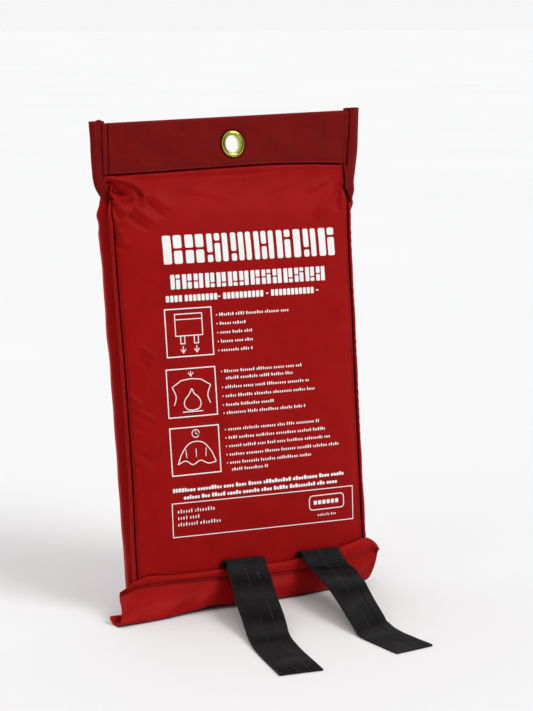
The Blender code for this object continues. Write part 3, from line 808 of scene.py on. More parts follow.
def make_header_band():
    """One strip folded over the top, with turned ends and a hole for the eyelet."""
    front, back = HEADER_FRONT + CLOTH / 2, HEADER_BACK - CLOTH / 2
    bend = (back - front) / 2
    across = np.linspace(0.0, 1.0, 210)
    straight = np.linspace(0.0, 1.0, SIDE_ROWS)
    still = np.zeros(SIDE_ROWS)
    angle = np.linspace(0.0, math.pi, 16)[1:-1]
    level = np.concatenate([straight, np.ones(len(angle)), straight[::-1]])[:, None]
    lift = np.concatenate([still, bend * np.sin(angle), still])[:, None]
    fold = front + bend - bend * np.cos(angle)
    depth = np.concatenate([still + front, fold, still + back])[:, None]
    left = mix(-111.2 * MM, -109.9 * MM, level)
    right = mix(109.4 * MM, 115.6 * MM, level)
    x = mix(left, right, across)
    low, high = header_seam(x), header_top(x) - bend
    height = mix(low, high, level) + lift
    outward = np.where(depth < (front + back) / 2, -1.0, 1.0)
    inset = np.minimum(x - left, right - x)
    ridge = 0.65 * MM * (1.0 - smooth(3.0 * MM, 4.0 * MM, inset)) * smooth(-0.2 * MM, 1.2 * MM, inset)
    groove = 0.75 * MM * bell(inset, 4.3 * MM, 0.55 * MM)
    hem = (ridge - groove) * (x < 0)
    seam = 0.16 * MM * bell(height - low, 2.4 * MM, 0.8 * MM)
    flat = smooth(0.0, 0.15, level) * smooth(1.0, 0.8, level)
    quilt = (0.28 * ripple(x, height, 0.034, 23) + 0.12 * ripple(x, height, 0.011, 29)) * MM * flat
    away = np.hypot(x - eyelet_centre(), height - EYELET_HEIGHT)
    pressed_by = np.where(outward < 0, 0.9 * MM, 1.5 * MM)
    press = pressed_by * bell(np.maximum(away - 10.2 * MM, 0.0), 0.0, 3.2 * MM)
    depth = depth + outward * (hem - seam + quilt - press)
    points = to_world(x, depth, height)
    middle = (away[:-1, :-1] + away[1:, 1:]) / 2
    band = add_shell("header_band_cloth", points, CLOTH, MAROON, keep=middle > EYELET_CUT)
    settle(band, "pouch", "maroon_cloth", "header_band")
    seams = (("header_seam_stitches", SEAM_ROW, -1), ("header_back_stitches", len(points) - 2 - SEAM_ROW, 1))
    for name, row, sign in seams:
        line = points[row, 6:-6] + facing(sign) * CLOTH / 2
        stitches = add_stitches(name, line, facing(sign), RED_THREAD)
        settle(stitches, "pouch", "red_thread")
        if sign < 0:
            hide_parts("header_stitching")


# The strips beside the header: their edges as (height, x) points, the heights of their lower inner
# corner, lower outer corner and top, their thickness, their depth at the bottom and their flat size
STRIPS = {
    "left": {
        "outer": [(339, -110.5), (345, -114.6), (351, -117.8), (358, -119.4), (366, -119.9),
                  (390, -119.8), (405, -120.2)],
        "inner": [(339, -107.5), (352, -109.0), (363, -109.6), (390, -108.2), (405, -107.6)],
        "ends": (339, 339, 404.6),
        "thick": 1.5 * MM,
        "depth": 6.6 * MM,
        "flat": (0.015, 0.066),
    },
    "right": {
        "outer": [(329, 112.6), (334, 113.4), (340.5, 115.8), (348, 116.2), (356, 118.4), (366, 121.0),
                  (390, 124.0), (412, 126.4)],
        "inner": [(329, 107.0), (341, 106.9), (352, 107.6), (363, 107.4), (390, 110.5), (412, 113.2)],
        "ends": (342, 329.5, 411.2),
        "thick": 2.6 * MM,
        "depth": 1.9 * MM,
        "flat": (0.020, 0.078),
    },
}


def make_header_strip(side, sign):
    """The gusset's end, folded in half and standing out beside the header.

    The right one has a deep groove along its inner edge, and the left one a ragged top.
    """
    strip = STRIPS[side]
    inner_low, outer_low, top = (MM * end for end in strip["ends"])
    turn = np.linspace(0.0, 1.0, 61)
    out = np.sin(math.pi * turn) ** 0.55
    bottom = mix(inner_low, outer_low, smooth(0.0, 0.85, out))
    height = mix(bottom, top, np.linspace(0.0, 1.0, 90)[:, None])
    x = mix(through(strip["inner"], height), through(strip["outer"], height), out)
    thick = mix(0.8 * MM, strip["thick"], smooth(outer_low, outer_low + 22 * MM, height))
    layer = -np.cos(math.pi * turn) * thick * (1.0 - 0.35 * out**3)
    layer = layer + np.sign(layer) * bell(out, 0.72, 0.22) * 0.7 * MM
    if sign > 0:
        gap = bell(out, 0.22, 0.08) * smooth(0.352, 0.366, height)
        fold = 0.5 * np.sin((height - out * 6 * MM) * 700) * (1.0 - smooth(0.350, 0.364, height))
        layer = layer - np.sign(layer) * (2.3 * gap + fold * out * (1.0 - out)) * MM
    middle = mix(strip["depth"], 5.0 * MM, smooth(0.333, 0.367, height))
    depth = middle + layer + 0.25 * MM * ripple(x, height, 0.03, 31 if sign < 0 else 37)
    ragged = 1.3 * MM * bell(out, 0.35, 0.16) * smooth(top - 4 * MM, top, height)
    points = to_world(x, depth, height + ragged * (sign < 0))
    points = points if sign > 0 else points[:, ::-1]
    piece = add_shell(f"{side}_header_strip_cloth", points, CLOTH, MAROON)
    settle(piece, "pouch", "maroon_cloth", f"{side}_header_strip")


def make_eyelet():
    """A two-part brass eyelet: domed flange and tube in front, washer and rolled lip behind."""
    low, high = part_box("eyelet")
    hole, wall, rim = 7.0 * MM, 0.7 * MM, (high.x - low.x) / 2
    front, washer_back = HEADER_FRONT + 0.35 * MM, 7.3 * MM
    dome = np.radians(np.linspace(0.0, 180.0, 15))
    middle, reach = (hole + rim) / 2, (rim - hole) / 2
    outline = [(middle - reach * math.cos(a), front - 2.0 * MM * math.sin(a)) for a in dome]
    outline += [(rim - 0.4 * MM, front + 0.35 * MM), (rim - 1.2 * MM, front + 0.2 * MM)]
    outline += [(hole + wall, front + 0.3 * MM), (hole + wall, washer_back)]
    for angle in np.radians(np.linspace(0.0, 180.0, 9)):
        lip_radius = hole + 0.95 * MM + 0.85 * MM * math.cos(angle)
        outline.append((lip_radius, washer_back + 0.2 * MM + 0.95 * MM * math.sin(angle)))
    outline.append((hole, front + 1.0 * MM))
    ring = add_turned("brass_eyelet", outline, eyelet_centre(), EYELET_HEIGHT, BRASS)
    settle(ring, "pouch", "brass", "eyelet")
    inner = hole + wall + 0.3 * MM
    washer = [(inner, 6.45 * MM), (rim - 0.5 * MM, 6.45 * MM), (rim, 6.7 * MM), (rim - 0.1 * MM, 7.05 * MM),
              (rim - 1.2 * MM, 7.4 * MM), (inner + 0.8 * MM, 7.35 * MM), (inner, 7.15 * MM)]
    piece = add_turned("brass_eyelet_washer", washer, eyelet_centre(), EYELET_HEIGHT, BRASS)
    settle(piece, "pouch", "brass", "eyelet_washer")


# ---------------------------------------------------------------- the flap

# Along X: the height of the lip up the slope, how far the toe comes forward, how far it stands off the
# floor, and the width of the hem
FLAP_TOP = [(-124.5, 17.0), (-119, 20.5), (-114, 24.8), (-109, 28.4), (-101, 30.6), (-78, 29.8), (-38, 29.4),
            (7, 28.9), (30, 29.3), (42, 30.6), (76, 34.8), (88, 37.4), (97, 39.8), (103, 40.8), (107, 39.9),
            (110.5, 37.6), (113.5, 34.2), (115.4, 30.2)]
FLAP_TOE = [(-134, -40.5), (-119, -39), (-97, -36.2), (-75, -32.8), (-58, -31.5), (-43, -28.5), (-24, -30.5),
            (-8, -29.5), (38, -22.5), (63, -19.5), (90, -16), (108, -13)]
FLAP_LIFT = [(-134, 0), (-80, 0), (-58, 2.4), (-43, 2.8), (-24, 2.2), (-5, 0.4), (10, 0), (75, 0), (95, 1.0),
             (108, 2.4)]
HEM_WIDTH = [(-118.5, 3.0), (-114, 4.4), (-97, 6.6), (-75, 5.2), (-48, 5.6), (11, 7.8), (35, 8.4), (83, 9.0),
             (103, 10.0), (108, 7.6), (112, 4.0), (115.4, 1.2)]

# The X of the flap's left and right ends at each stage of the way from the heel to the lip
FLAP_LEFT = {"heel": -107.5, "floor": -134, "toe": -132.5, "low": -130.5, "face": -126, "knee": -121.5,
             "lip": -118.5}
FLAP_RIGHT = {"heel": 106, "floor": 106, "toe": 107, "low": 109.5, "face": 112.5, "knee": 114.8,
              "lip": 115.4}

# Creases of the flap's face, as (x, z) points, how far they stand out and how wide they are
FLAP_CREASES = [
    ([(-126, 17.5), (-121, 12.5), (-117, 10)], -1.0, 1.1),
    ([(-120.5, 16.5), (-117.5, 13.5), (-115, 12)], -0.7, 0.9),
    ([(-118, 15), (-110, 14.2), (-98, 15.2)], -0.7, 1.1),
    ([(-116, 9), (-104, 11), (-92, 14)], 0.5, 1.8),
    ([(-92, 5), (-80, 9), (-70, 15)], 0.7, 3.0),
    ([(-80, 4), (-68, 8), (-56, 17)], -0.7, 3.0),
    ([(-66, 5), (-55, 9), (-44, 16)], 0.6, 2.6),
    ([(-30, 6), (-24, 12), (-20, 20)], -0.6, 3.0),
    ([(20, 5), (30, 12), (34, 19)], 0.6, 3.0),
    ([(72, 6), (84, 13), (92, 22)], -0.8, 3.0),
    ([(88, 8), (98, 15), (104, 24)], 0.8, 3.0),
]
FLAP_ROWS = 80


def flap_column(share):
    """Points of the flap's middle surface at a share of its width, from its heel to its lip."""
    at = {key: mix(FLAP_LEFT[key], FLAP_RIGHT[key], share) * MM for key in FLAP_LEFT}
    heel_depth = mix(GUSSET_DEPTH + 2 * MM, HEEL_DEPTH, heel_share(at["heel"]))
    _, heel_y, heel_z = to_world(0.0, heel_depth, HEEL_HEIGHT)
    lift = CLOTH / 2 + 0.2 * MM
    back = heel_y - HEEL_BEND
    points = [(at["heel"], heel_y, heel_z - 0.5 * MM)]
    for angle in np.radians((-30, -60, -90)):
        y, z = back + HEEL_BEND * math.cos(angle), lift + HEEL_BEND * (1 + math.sin(angle))
        points.append((at["heel"], y, z))
    toe = through(FLAP_TOE, at["toe"])
    raised = lift + through(FLAP_LIFT, at["toe"])
    curl = smooth(-110 * MM, -131 * MM, at["floor"])
    points.append((mix(at["heel"], at["floor"], 0.5), mix(back, toe, 0.4), lift + 1.0 * MM * curl))
    points.append((at["floor"], toe + 15 * MM, lift + 0.3 * (raised - lift) + 5.0 * MM * curl))
    points.append((at["floor"], toe + 9.5 * MM, mix(raised, lift, 0.3) + 1.0 * MM * curl))
    points.append((at["toe"], toe + 4.2 * MM, raised))
    points.append((at["toe"], toe + 0.9 * MM, raised + 1.0 * MM))
    points.append((at["low"], toe, raised + 3.8 * MM))
    top = through(FLAP_TOP, at["lip"])
    behind = smooth(-108 * MM, -124 * MM, at["lip"])
    depth = mix(-2.9 * MM, 3.2 * MM, behind)
    lip = to_world(at["lip"], depth, top)
    knee_height = top - through(HEM_WIDTH, at["lip"])
    knee = to_world(at["knee"], depth - 0.6 * MM, knee_height)
    puff = mix(3.0, 1.6, share) * MM
    points.append((at["face"], mix(toe, knee[1], 0.5) - puff, mix(raised + 3.8 * MM, knee[2], 0.5)))
    points.append(knee)
    points.append(lip)
    return spline(points, FLAP_ROWS)


def flap_surface():
    """The flap's middle surface, with its waves and creases on the part that stands up."""
    shares = np.linspace(0.0, 1.0, 280)
    points = np.stack([flap_column(share) for share in shares], 1)
    x, z = points[..., 0], points[..., 2]
    rise = smooth(0.55, 0.7, np.linspace(0.0, 1.0, FLAP_ROWS))[:, None]
    wave_out = 0.5 * MM * ripple(x, z, 0.042, 41) + 0.12 * MM * ripple(x, z, 0.013, 43)
    for path, size, width in FLAP_CREASES:
        wave_out = wave_out + crease(x, z, path, size, width)
    points[..., 1] += wave_out * rise
    points[..., 2] = np.maximum(points[..., 2], CLOTH / 2 + 0.1 * MM)
    return points


def blend_flap(piece):
    """Bakes the piece's placement into its mesh."""
    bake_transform(piece)


def make_flap():
    points = flap_surface()
    flap = add_shell("bottom_flap_cloth", points, CLOTH, RED)
    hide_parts("bottom_flap")
    blend_flap(flap)
    hem = make_flap_hem(points)
    make_tapes(points)


def make_flap_hem(points):
    """The free edge, turned out once and sewn down: it wraps the lip and ends below its seam."""
    normal, run = surface_normals(points), run_length(points)
    below = np.linspace(0.0, 1.0, 22)
    columns = []
    for column in range(points.shape[1]):
        x = points[-1, column, 0]
        width = through(HEM_WIDTH, x) + 1.6 * MM
        at = run[-1, column] - width * (1.0 - below)
        base = pick(at, run[:, column], points[:, column])
        out = pick(at, run[:, column], normal[:, column])
        seam = 1.6 * MM / width
        puff = 0.75 * MM + 0.9 * MM * np.sin(math.pi * np.clip((below - seam) / (1.0 - seam), 0, 1)) ** 0.7
        puff = puff - 0.6 * MM * bell(below, seam, 0.07)
        puff = puff + 0.18 * MM * math.sin(column * 0.9) * (1.0 - np.abs(2 * below - 1))
        face = base + out * puff[:, None]
        up = (base[-1] - base[-3]) / np.linalg.norm(base[-1] - base[-3])
        middle = base[-1] + out[-1] * (puff[-1] - 0.1 * MM) / 2
        radius = (puff[-1] + 0.6 * MM) / 2 + 0.25 * MM
        angles = np.radians([[35], [80], [125], [170]])
        turn = middle + radius * (out[-1] * np.cos(angles) + up * np.sin(angles))
        inside = [base[-1] - out[-1] * 0.75 * MM - up * drop * MM for drop in (1.5, 4.0)]
        columns.append(np.vstack([face[:-1], turn, inside]))
    hem_points = np.stack(columns, 1)
    hem = add_shell("flap_hem_cloth", hem_points, CLOTH, RED)
    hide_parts("flap_hem")
    blend_flap(hem)
    line = hem_points[SEAM_ROW, 4:-4]
    outward = surface_normals(hem_points)[SEAM_ROW, 4:-4]
    row = add_stitches("flap_seam_stitches", line + outward * CLOTH / 2, outward, RED_THREAD)
    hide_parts("flap_stitching")
    blend_flap(row)
    return hem


def make_tapes(points):
    """The closure: hook tape on the pouch's mouth, and loop tape on the flap's inner face."""
    low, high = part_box("hook_tape")
    x = np.linspace(low.x, high.x, 60)
    height = np.linspace(16 * MM, 26 * MM, 20)[:, None]
    nap = 0.10 * MM * ripple(x, height, 0.0022, 81)
    hook = add_shell("hook_tape_strip", to_world(x, -0.55 * MM + nap, height), TAPE, BLACK_TAPE)
    settle(hook, "pouch", "black_tape", "hook_tape")
    run = run_length(points)
    inner_face = points - surface_normals(points) * 0.75 * MM
    columns = []
    for column in np.flatnonzero((points[-1, :, 0] > low.x) & (points[-1, :, 0] < high.x)):
        at = run[-1, column] - np.linspace(15 * MM, 5 * MM, 20)
        columns.append(pick(at, run[:, column], inner_face[:, column]))
    loop = add_shell("loop_tape_strip", np.stack(columns, 1), TAPE, BLACK_TAPE)
    settle(loop, "flap", "black_tape", "loop_tape")


# ---------------------------------------------------------------- the straps

CREST_X = {"left": -12.5 * MM, "right": 57.4 * MM}

# Each tab's centre line from its crest to its end (x, y, z), with how far its cross line turns
# from the X axis, and how far it slopes down to the right, both in degrees
TAB_ROUTES = {
    "left": [(-12.9, -25.5, 32.6, -4, 0), (-15.2, -38.5, 26.4, -8, 0), (-19.5, -54.0, 21.6, -10, 0),
             (-24.0, -70.0, 17.2, -12, 0), (-28.4, -90.0, 10.8, -10, 0), (-33.0, -108.0, 5.4, -4, 0),
             (-37.5, -125.0, 2.1, 1, 0), (-42.0, -150.0, 1.0, 1, 0), (-48.2, -202.0, 0.9, -4, 0)],
    "right": [(58.0, -26.0, 32.2, -1, 0), (59.2, -35.5, 26.8, -7, 0), (60.0, -48.0, 23.6, -14, 0),
              (57.8, -66.0, 21.6, -2, 0), (53.6, -90.0, 16.8, 14, -4),
              (49.8, -116.0, 9.4, 20, -7), (47.8, -137.0, 2.8, 19, -3), (49.8, -154.0, 1.0, 14, 0),
              (55.2, -190.0, 0.9, 9, 0)],
}

# How far each strap's fold lines stand out, in millimetres
FOLD_SIZES = {"left": (0.55, 0.20), "right": (0.25, 0.60)}

# Cross bends of each tab: place along Y, how far they stand out and how wide they are
TAB_BENDS = {"left": [(-112, 0.7, 3.0)], "right": [(-43, -1.5, 6.0), (-133, 0.9, 3.0)]}


def strap_line(side):
    """Centre points of a strap with its turn and tilt, from the blanket's front to its end."""
    x = CREST_X[side]
    inner, outer = 2.4 * MM, -1.3 * MM
    rows = [(x, *to_world(x, inner, height)[1:], 0, 0) for height in (0.070, 0.050, 0.030, 0.018)]
    middle, bend = (inner + outer) / 2, (inner - outer) / 2
    for angle in np.radians(np.linspace(0, 180, 7)):
        depth = middle + bend * math.cos(angle)
        height = MOUTH - 0.8 * MM - (bend + 0.6 * MM) * math.sin(angle)
        rows.append((x, *to_world(x, depth, height)[1:], 0, 0))
    rows += [(x - MM, *to_world(x, outer, height)[1:], 0, 0) for height in (0.018, 0.026, 0.032)]
    for angle in np.radians([30, 75, 120, 155]):
        depth = outer - CREST_RADIUS * (1 - math.cos(angle))
        height = CREST_HEIGHT + CREST_RADIUS * math.sin(angle)
        rows.append((x - MM * math.cos(angle), *to_world(x, depth, height)[1:], 0, 0))
    tab = np.array(TAB_ROUTES[side], float) * [MM, MM, MM, math.radians(1), math.radians(1)]
    return spline(np.vstack([rows, tab]), 780)


def make_strap(side):
    """One length of webbing: sewn to the blanket, out of the mouth, over the flap and away."""
    line = strap_line(side)
    centre, turn, tilt = line[:, :3], line[:, 3], line[:, 4]
    across = np.stack([np.cos(turn) * np.cos(tilt), np.sin(turn) * np.cos(tilt), -np.sin(tilt)], -1)
    share = np.linspace(-1.0, 1.0, 61)
    points = centre[:, None] + across[:, None] * share[:, None] * WEBBING_WIDTH / 2
    run = run_length(centre)
    ribs = 0.15 * MM * np.sin(run * math.tau / RIB_PITCH)[:, None] * (1 - share**6)
    selvedge = 0.10 * MM * bell(np.abs(share), 0.94, 0.03)
    soft = 0.25 * MM * ripple(run[:, None], share * 0.017, 0.05, 51 if side == "left" else 53)
    for place, size in zip(FOLD_LINES, FOLD_SIZES[side]):
        soft = soft + size * MM * bell(share, place, 0.040) * smooth(0.09, 0.14, run)[:, None]
    for place, size, width in TAB_BENDS[side]:
        soft = soft + size * MM * bell(centre[:, 1:2], place * MM, width * MM)
    points = points + surface_normals(points) * (ribs + selvedge + soft)[..., None]
    points[..., 2] = np.maximum(points[..., 2], WEBBING / 2 + 0.1 * MM)
    strap = add_shell(f"{side}_strap_webbing", points, WEBBING, BLACK_WEBBING)
    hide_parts(f"{side}_strap_riser", f"{side}_pull_tab")
    start = to_world(CREST_X[side], -2.4 * MM, CREST_HEIGHT)
    end = to_world(CREST_X[side], -7.0 * MM, CREST_HEIGHT)
    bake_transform(strap)
    make_anchor_stitches(side)


def make_anchor_stitches(side):
    """The sewn box with a diagonal that fixes the strap to the blanket."""
    x, half = CREST_X[side], WEBBING_WIDTH / 2 - 4 * MM
    corners = [(-half, 40), (half, 40), (half, 64), (-half, 64), (-half, 40), (half, 64)]
    points = [to_world(x + a, 1.65 * MM, b * MM) for a, b in corners]
    sides = [np.linspace(a, b, 30, endpoint=False) for a, b in zip(points, points[1:])]
    line = np.vstack([*sides, points[-1:]])
    row = add_stitches(f"{side}_anchor_stitches", line, facing(), BLACK_THREAD)
    settle(row, "blanket", "black_tape", f"{side}_anchor_stitching")


# ---------------------------------------------------------------- the blanket


def zigzag(distance, panel, layers, pitch):
    """Folds a length into layers: place along the panel, height in the stack and heading."""
    turn = math.pi * pitch / 2
    period = panel + turn
    layer = np.clip(np.floor(distance / period), 0, layers - 1)
    rest = distance - layer * period
    forward = np.where(layer % 2 == 0, 1.0, -1.0)
    angle = np.clip((rest - panel) / turn, 0.0, 1.0) * math.pi
    straight = np.minimum(rest, panel) - panel / 2
    place = forward * (straight + pitch / 2 * np.sin(angle))
    stack = layer * pitch + pitch / 2 * (1.0 - np.cos(angle))
    return place, stack, forward * np.cos(angle), np.sin(angle)


def fold_marks(panel, pitch, on_panel, on_turn):
    """Distances along a cloth folded zigzag: on_panel of them in each layer, and some in each turn."""
    turn = math.pi * pitch / 2
    layer = np.concatenate([np.linspace(0, panel, on_panel), panel + np.linspace(0, turn, on_turn)[1:-1]])
    marks = np.concatenate([step * (panel + turn) + layer for step in range(FOLDS)])
    return marks[marks <= FOLDS * panel + (FOLDS - 1) * turn + 1e-9]


def make_blanket():
    """A 1.2 x 1.8 m glass cloth, folded zigzag six times one way and then six times the other."""
    block = FOLDS * PLY
    a = fold_marks(LONG_PANEL, PLY, 15, 5)[:, None]
    b = fold_marks(WIDE_PANEL, block, 12, 10)
    up, inner, _, _ = zigzag(a, LONG_PANEL, FOLDS, PLY)
    offset = inner - (FOLDS - 1) * PLY / 2
    place, stack, along, outward = zigzag(b, WIDE_PANEL, FOLDS, block)
    even = np.floor(b / (WIDE_PANEL + math.pi * block / 2)) % 2 == 0
    x = place + outward * offset * np.where(even, -1.0, 1.0)
    depth = stack + along * offset
    thick = (FOLDS - 1) * (block + PLY)
    share = (depth + (FOLDS - 1) * PLY / 2) / thick
    height = 0.164 + up + 0.0 * b
    front = BLANKET_FRONT + 0.15 * MM * ripple(x, height, 0.07, 61)
    front = front + 2.0 * MM * smooth(0.270, 0.312, height)
    room = back_face(np.clip(x, -0.099, 0.099), height) - 1.1 * MM
    back = np.minimum(room, front + thick)
    back = back - 3.0 * MM * smooth(0.285, 0.312, height)
    points = to_world(x + 0.0 * a, mix(front, back, share), height)
    blanket = add_shell("folded_blanket_cloth", points, 0.42 * MM, GLASS)
    settle(blanket, "blanket", "glass_cloth", "folded_blanket")


# ---------------------------------------------------------------- the print


PRINT_STEP = 1.3


class Ink:
    """Collects printed shapes, laid out in millimetres of (x, height), and lays them on the panel."""

    def __init__(self):
        self.points = []
        self.faces = []

    def add_grid(self, grid):
        rows, columns = grid.shape[:2]
        first = sum(len(block) for block in self.points)
        self.points.append(grid.reshape(-1, 2))
        self.faces.append(grid_faces(rows, columns) + first)

    def block(self, left, right, low, high, corner):
        """A filled rectangle with round corners."""
        corner = min(corner, (right - left) / 2, (high - low) / 2)
        turn = np.radians([0, 30, 60, 90])
        columns = max(2, math.ceil((right - left - 2 * corner) / PRINT_STEP) + 1)
        straight = np.linspace(left + corner, right - corner, columns)[1:-1]
        bend = corner * (1 - np.cos(turn))
        x = np.concatenate([left + bend, straight, right - bend[::-1]])
        inset = np.minimum(x - left, right - x).clip(0, corner) / max(corner, 1e-6)
        cut = corner * (1 - np.sqrt(np.clip(1 - (1 - inset) ** 2, 0, 1)))
        rows = max(2, math.ceil((high - low) / PRINT_STEP) + 1)
        share = np.linspace(0.0, 1.0, rows)[:, None]
        height = mix(low + cut, high - cut, share)
        self.add_grid(np.stack([x + 0.0 * height, height], -1))

    def line(self, path, width, closed=False):
        """A stroke of even width along a path."""
        path = np.array(path, float)
        if closed:
            path = np.vstack([path, path[:1]])
        fine = [path[:1]]
        for a, b in zip(path, path[1:]):
            steps = max(1, math.ceil(np.linalg.norm(b - a) / PRINT_STEP))
            fine.append(a + (b - a) * np.linspace(0, 1, steps + 1)[1:, None])
        path = np.vstack(fine)
        heading = np.diff(path, axis=0)
        heading /= np.linalg.norm(heading, axis=1, keepdims=True)
        side = np.stack([-heading[:, 1], heading[:, 0]], -1)
        first, last = (side[-1:], side[:1]) if closed else (side[:1], side[-1:])
        before, after = np.vstack([first, side]), np.vstack([side, last])
        middle = (before + after) / np.maximum(1.0 + (before * after).sum(1), 0.4)[:, None]
        self.add_grid(np.stack([path - middle * width / 2, path + middle * width / 2]))

    def lay(self, name):
        """Makes one piece of all the shapes, just in front of the panel's face."""
        flat = np.concatenate(self.points) * MM
        x, height = flat[:, 0], flat[:, 1]
        points = to_world(x, front_face(x, height) - INK, height)
        piece = add_mesh(name, points, np.concatenate(self.faces), WHITE_PRINT, flat)
        return settle(piece, "pouch", "red_cloth")


def word_row(ink, left, right, low, high, chance, weight=1.0):
    """A row of words with no letters in it: small blocks, as high as small or tall letters."""
    x = left
    size = high - low
    until = x + chance.uniform(2.5, 6.5) * size
    while x < right - 0.3 * size:
        width = min(chance.uniform(0.42, 0.62) * size, right - x)
        tall = chance.random() < 0.3
        ink.block(x, x + width * weight, low, low + size * (1.0 if tall else 0.72), 0.22 * size)
        x += width + 0.22 * size
        if x > until:
            x += 0.42 * size
            until = x + chance.uniform(2.0, 7.0) * size


def title_row(ink, cells, low, high, gap, chance):
    """A row of heavy upright bars in groups, some of them cut once, in place of a title."""
    size = high - low
    space = 0.085 * size
    for left, right in cells:
        right = right - gap
        count = max(1, round((right - left) / (0.29 * size)))
        width = (right - left - (count - 1) * space) / count
        cut = chance.integers(0, count) if count > 1 else -1
        for bar in range(count):
            x = left + bar * (width + space)
            level = low + size * chance.choice([0.3, 0.5, 0.7])
            if bar == cut or chance.random() < 0.25:
                ink.block(x, x + width, low, level - space / 2, 0.06 * size)
                ink.block(x, x + width, level + space / 2, high, 0.06 * size)
            else:
                ink.block(x, x + width, low, high, 0.06 * size)


def make_title():
    chance = np.random.default_rng(71)
    ink = Ink()
    starts = [-66.3, -46.6, -27.2, -5.6, 15.6, 36.6, 52.2, 61.6, 76.4, 94.3]
    title_row(ink, list(zip(starts, starts[1:])), 285.6, 309.2, 2.9, chance)
    starts = np.linspace(-61.6, 82.0, 15)
    title_row(ink, list(zip(starts, starts[1:])), 264.8, 276.8, 1.9, chance)
    x = -66.6
    for words in ((14.5, 28.0), (37.5,), (41.0,)):
        for width in words:
            right = x + width
            while x < right - 1.0:
                ink.block(x, x + 2.9, 254.4, 259.8, 0.8)
                x += 3.75
            x = right + 2.0
        if x < 80:
            ink.block(x - 0.3, x + 1.9, 256.4, 257.5, 0.3)
            x += 4.4
    ink.lay("title_print")


def arrow_down(ink, x, high, low, width=0.8):
    ink.line([(x, high), (x, low)], width)
    ink.line([(x - 2.2, low + 3.0), (x, low), (x + 2.2, low + 3.0)], width)


def arc(centre_x, centre_height, radius, first, last):
    angle = np.radians(np.linspace(first, last, max(6, int(abs(last - first) / 15) + 1)))
    return [(centre_x + radius * math.cos(a), centre_height + radius * math.sin(a)) for a in angle]


def flame(centre_x, low, size):
    """A plain flame outline."""
    right = [(0, 0), (0.32, 0.08), (0.42, 0.34), (0.30, 0.60), (0.10, 0.78), (0.02, 1.0)]
    left = [(-0.14, 0.74), (-0.34, 0.52), (-0.40, 0.28), (-0.26, 0.06)]
    return spline([(centre_x + a * size, low + b * size) for a, b in right + left + [(0, 0)]], 30)


def make_pictograms():
    """Three framed signs: pull both tabs down, lay the blanket over a fire, leave it covered."""
    ink = Ink()
    frames = [(209.3, 248.6), (159.6, 199.2), (111.8, 150.8)]
    for low, high in frames:
        left = -68.4 if low > 200 else -70.4
        ink.line([(left, low), (-27.3, low), (-27.3, high), (left, high)], 0.95, closed=True)
    low = frames[0][0]
    ink.line([(-60, low + 35), (-36, low + 35), (-36, low + 17), (-60, low + 17)], 0.8, closed=True)
    ink.line([(-60, low + 30.5), (-36, low + 30.5)], 0.7)
    for x in (-54, -42):
        tab = [(x - 1.8, low + 17), (x - 1.8, low + 10.5), (x + 1.8, low + 10.5), (x + 1.8, low + 17)]
        ink.line(tab, 0.8)
        arrow_down(ink, x, low + 8.6, low + 3.0)
    low = frames[1][0]
    hem = spline([(-58, low + 30), (-49, low + 31), (-40, low + 30)], 10)
    ink.line([(-66, low + 25), *hem, (-32, low + 25)], 0.8)
    ink.line(spline([(-66, low + 25), (-63, low + 17), (-65, low + 10)], 10), 0.8)
    ink.line(spline([(-32, low + 25), (-35, low + 17), (-33, low + 10)], 10), 0.8)
    ink.line(flame(-49, low + 5, 18), 0.8)
    ink.line([(-58, low + 4), (-40, low + 4)], 0.8)
    arrow_down(ink, -49, low + 37.5, low + 33.2, 0.7)
    low = frames[2][0]
    dome = [(-65, 9), (-61, 18), (-55, 25), (-48, 27), (-41, 25), (-35, 18), (-31, 9)]
    ink.line(spline([(x, low + up) for x, up in dome], 34), 0.8)
    edge = [(-65, 9), (-58, 11.5), (-52, 8), (-45, 11), (-38, 8), (-31, 9)]
    ink.line(spline([(x, low + up) for x, up in edge], 26), 0.8)
    for x, lean in ((-57, -1.5), (-48.5, 0.0), (-40, 1.5)):
        ink.line([(x, low + 14), (x + lean * 0.4, low + 21)], 0.6)
    ink.line(arc(-48, low + 33.5, 3.2, 0, 330), 0.7)
    ink.line([(-48, low + 35.6), (-48, low + 33.4), (-46.4, low + 33.0)], 0.6)
    ink.lay("pictogram_print")


# Groups of word rows: the left edge, which row carries on from the one above, and each row's lower and
# right edge
TEXT_GROUPS = [
    (-22.6, None, [(240.6, 44.7), (233.2, 3.6), (225.8, 10.3), (218.4, 9.8), (211.0, 9.3)]),
    (-21.4, 1, [(193.4, 53.5), (187.6, 45.0), (180.2, 60.0), (172.8, 64.0), (165.4, 25.0), (158.8, 54.0)]),
    (-21.0, 5, [(145.0, 66.0), (138.0, 73.5), (131.0, 77.0), (124.0, 85.0), (117.2, 57.5), (111.4, 15.6)]),
]


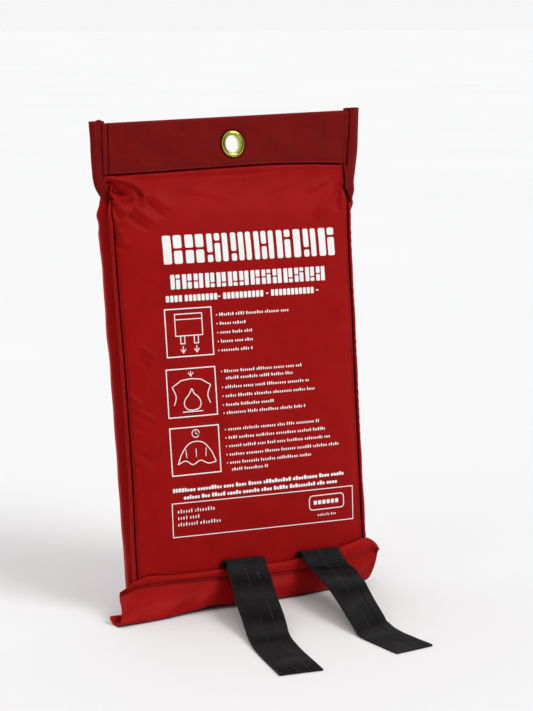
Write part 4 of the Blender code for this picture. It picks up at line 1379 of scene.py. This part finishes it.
def make_small_print():
    """Three groups of word rows with their dots, two bold rows and the ruled box."""
    chance = np.random.default_rng(73)
    ink = Ink()
    for left, carried, rows in TEXT_GROUPS:
        for row, (low, right) in enumerate(rows):
            if row != carried:
                ink.block(left - 0.6, left + 0.5, low + 0.6, low + 1.7, 0.5)
            start = left + (3.6 if row == carried else 2.4)
            word_row(ink, start, right, low, low + 2.7, chance, 0.80)
    word_row(ink, -71.0, 89.0, 97.9, 101.3, chance, 1.18)
    word_row(ink, -61.8, 80.8, 91.6, 95.0, chance, 1.18)
    ink.line([(-72.2, 61.0), (94.4, 59.2), (95.0, 87.6), (-72.2, 89.0)], 0.75, closed=True)
    for low, right in ((80.6, -32.5), (75.2, -48.0), (69.8, -27.5)):
        word_row(ink, -67.5, right, low, low + 3.2, chance, 0.62)
    badge = arc(82.8, 79.6, 3.0, 90, 0) + arc(82.8, 73.6, 3.0, 0, -90) + arc(56.0, 73.6, 3.0, -90, -180)
    badge += arc(56.0, 79.6, 3.0, 180, 90)
    ink.line(badge, 0.85, closed=True)
    for x in np.arange(57.0, 80.5, 4.1):
        ink.block(x, x + 3.1, 74.9, 78.4, 0.7)
    word_row(ink, 60.5, 79.0, 64.8, 67.2, chance, 0.7)
    ink.lay("small_print")


# ---------------------------------------------------------------- the setting


def add_camera():
    data = bpy.data.cameras.new("camera")
    data.lens = CAMERA_LENS
    data.sensor_width = 36.0
    camera = bpy.data.objects.new("camera", data)
    camera.location = CAMERA_AT
    camera.rotation_euler = (math.pi / 2 - CAMERA_PITCH, 0.0, -CAMERA_AZIMUTH)
    bpy.context.scene.collection.objects.link(camera)
    bpy.context.scene.camera = camera


def add_floor():
    material, tree, shader = new_material("studio_floor", Roughness=0.7, Specular_IOR_Level=0.2)
    place = add_node(tree, "TexCoord").outputs["Object"]
    colour = tint(tree, noise(tree, place, 0.9, 2.0), (0.806, 0.806, 0.810), (0.844, 0.844, 0.848))
    tree.links.new(colour, shader.inputs["Base Color"])
    corners = [(-1, -1, 0), (1, -1, 0), (1, 1, 0), (-1, 1, 0)]
    points = np.array(corners, float) * FLOOR_HALF
    floor = add_mesh("studio_floor", points, [(0, 1, 2, 3)], material)


def add_sun(name, toward, strength, spread):
    """A lamp far away in a direction, as wide as spread degrees, like a large soft box."""
    data = bpy.data.lights.new(name, "SUN")
    data.energy = strength
    data.angle = math.radians(spread)
    lamp = bpy.data.objects.new(name, data)
    lamp.rotation_euler = (-Vector(toward)).to_track_quat("-Z", "Y").to_euler()
    bpy.context.scene.collection.objects.link(lamp)


def add_surroundings():
    """Suns, and a white studio that is dim in front of the object and brightest behind it."""
    world = bpy.data.worlds.new("studio")
    bpy.context.scene.world = world
    world.use_nodes = True
    background = world.node_tree.nodes["Background"]
    tree = world.node_tree
    place = add_node(tree, "TexCoord").outputs["Generated"]
    split = add_node(tree, "SeparateXYZ", Vector=place)
    across = remap(tree, split.outputs["X"], -0.8, 0.8)
    behind = remap(tree, split.outputs["Y"], -0.75, 0.30)
    front = tint(tree, across, (0.08, 0.08, 0.08), (0.36, 0.36, 0.36))
    tree.links.new(blend_colours(tree, behind, front, (0.92, 0.92, 0.92)), background.inputs["Color"])
    background.inputs["Strength"].default_value = 1.0
    for name, sun in SUNS.items():
        add_sun(name, *sun)
    bpy.context.scene.view_settings.view_transform = "Standard"


add_camera()
make_blanket()
make_front_panel()
make_back_panel()
for side, sign in (("left", -1.0), ("right", 1.0)):
    make_gusset(side, sign)
    make_piping(side, sign)
    make_header_strip(side, sign)
    make_strap(side)
make_header_band()
make_eyelet()
make_flap()
make_title()
make_pictograms()
make_small_print()
add_floor()
add_surroundings()
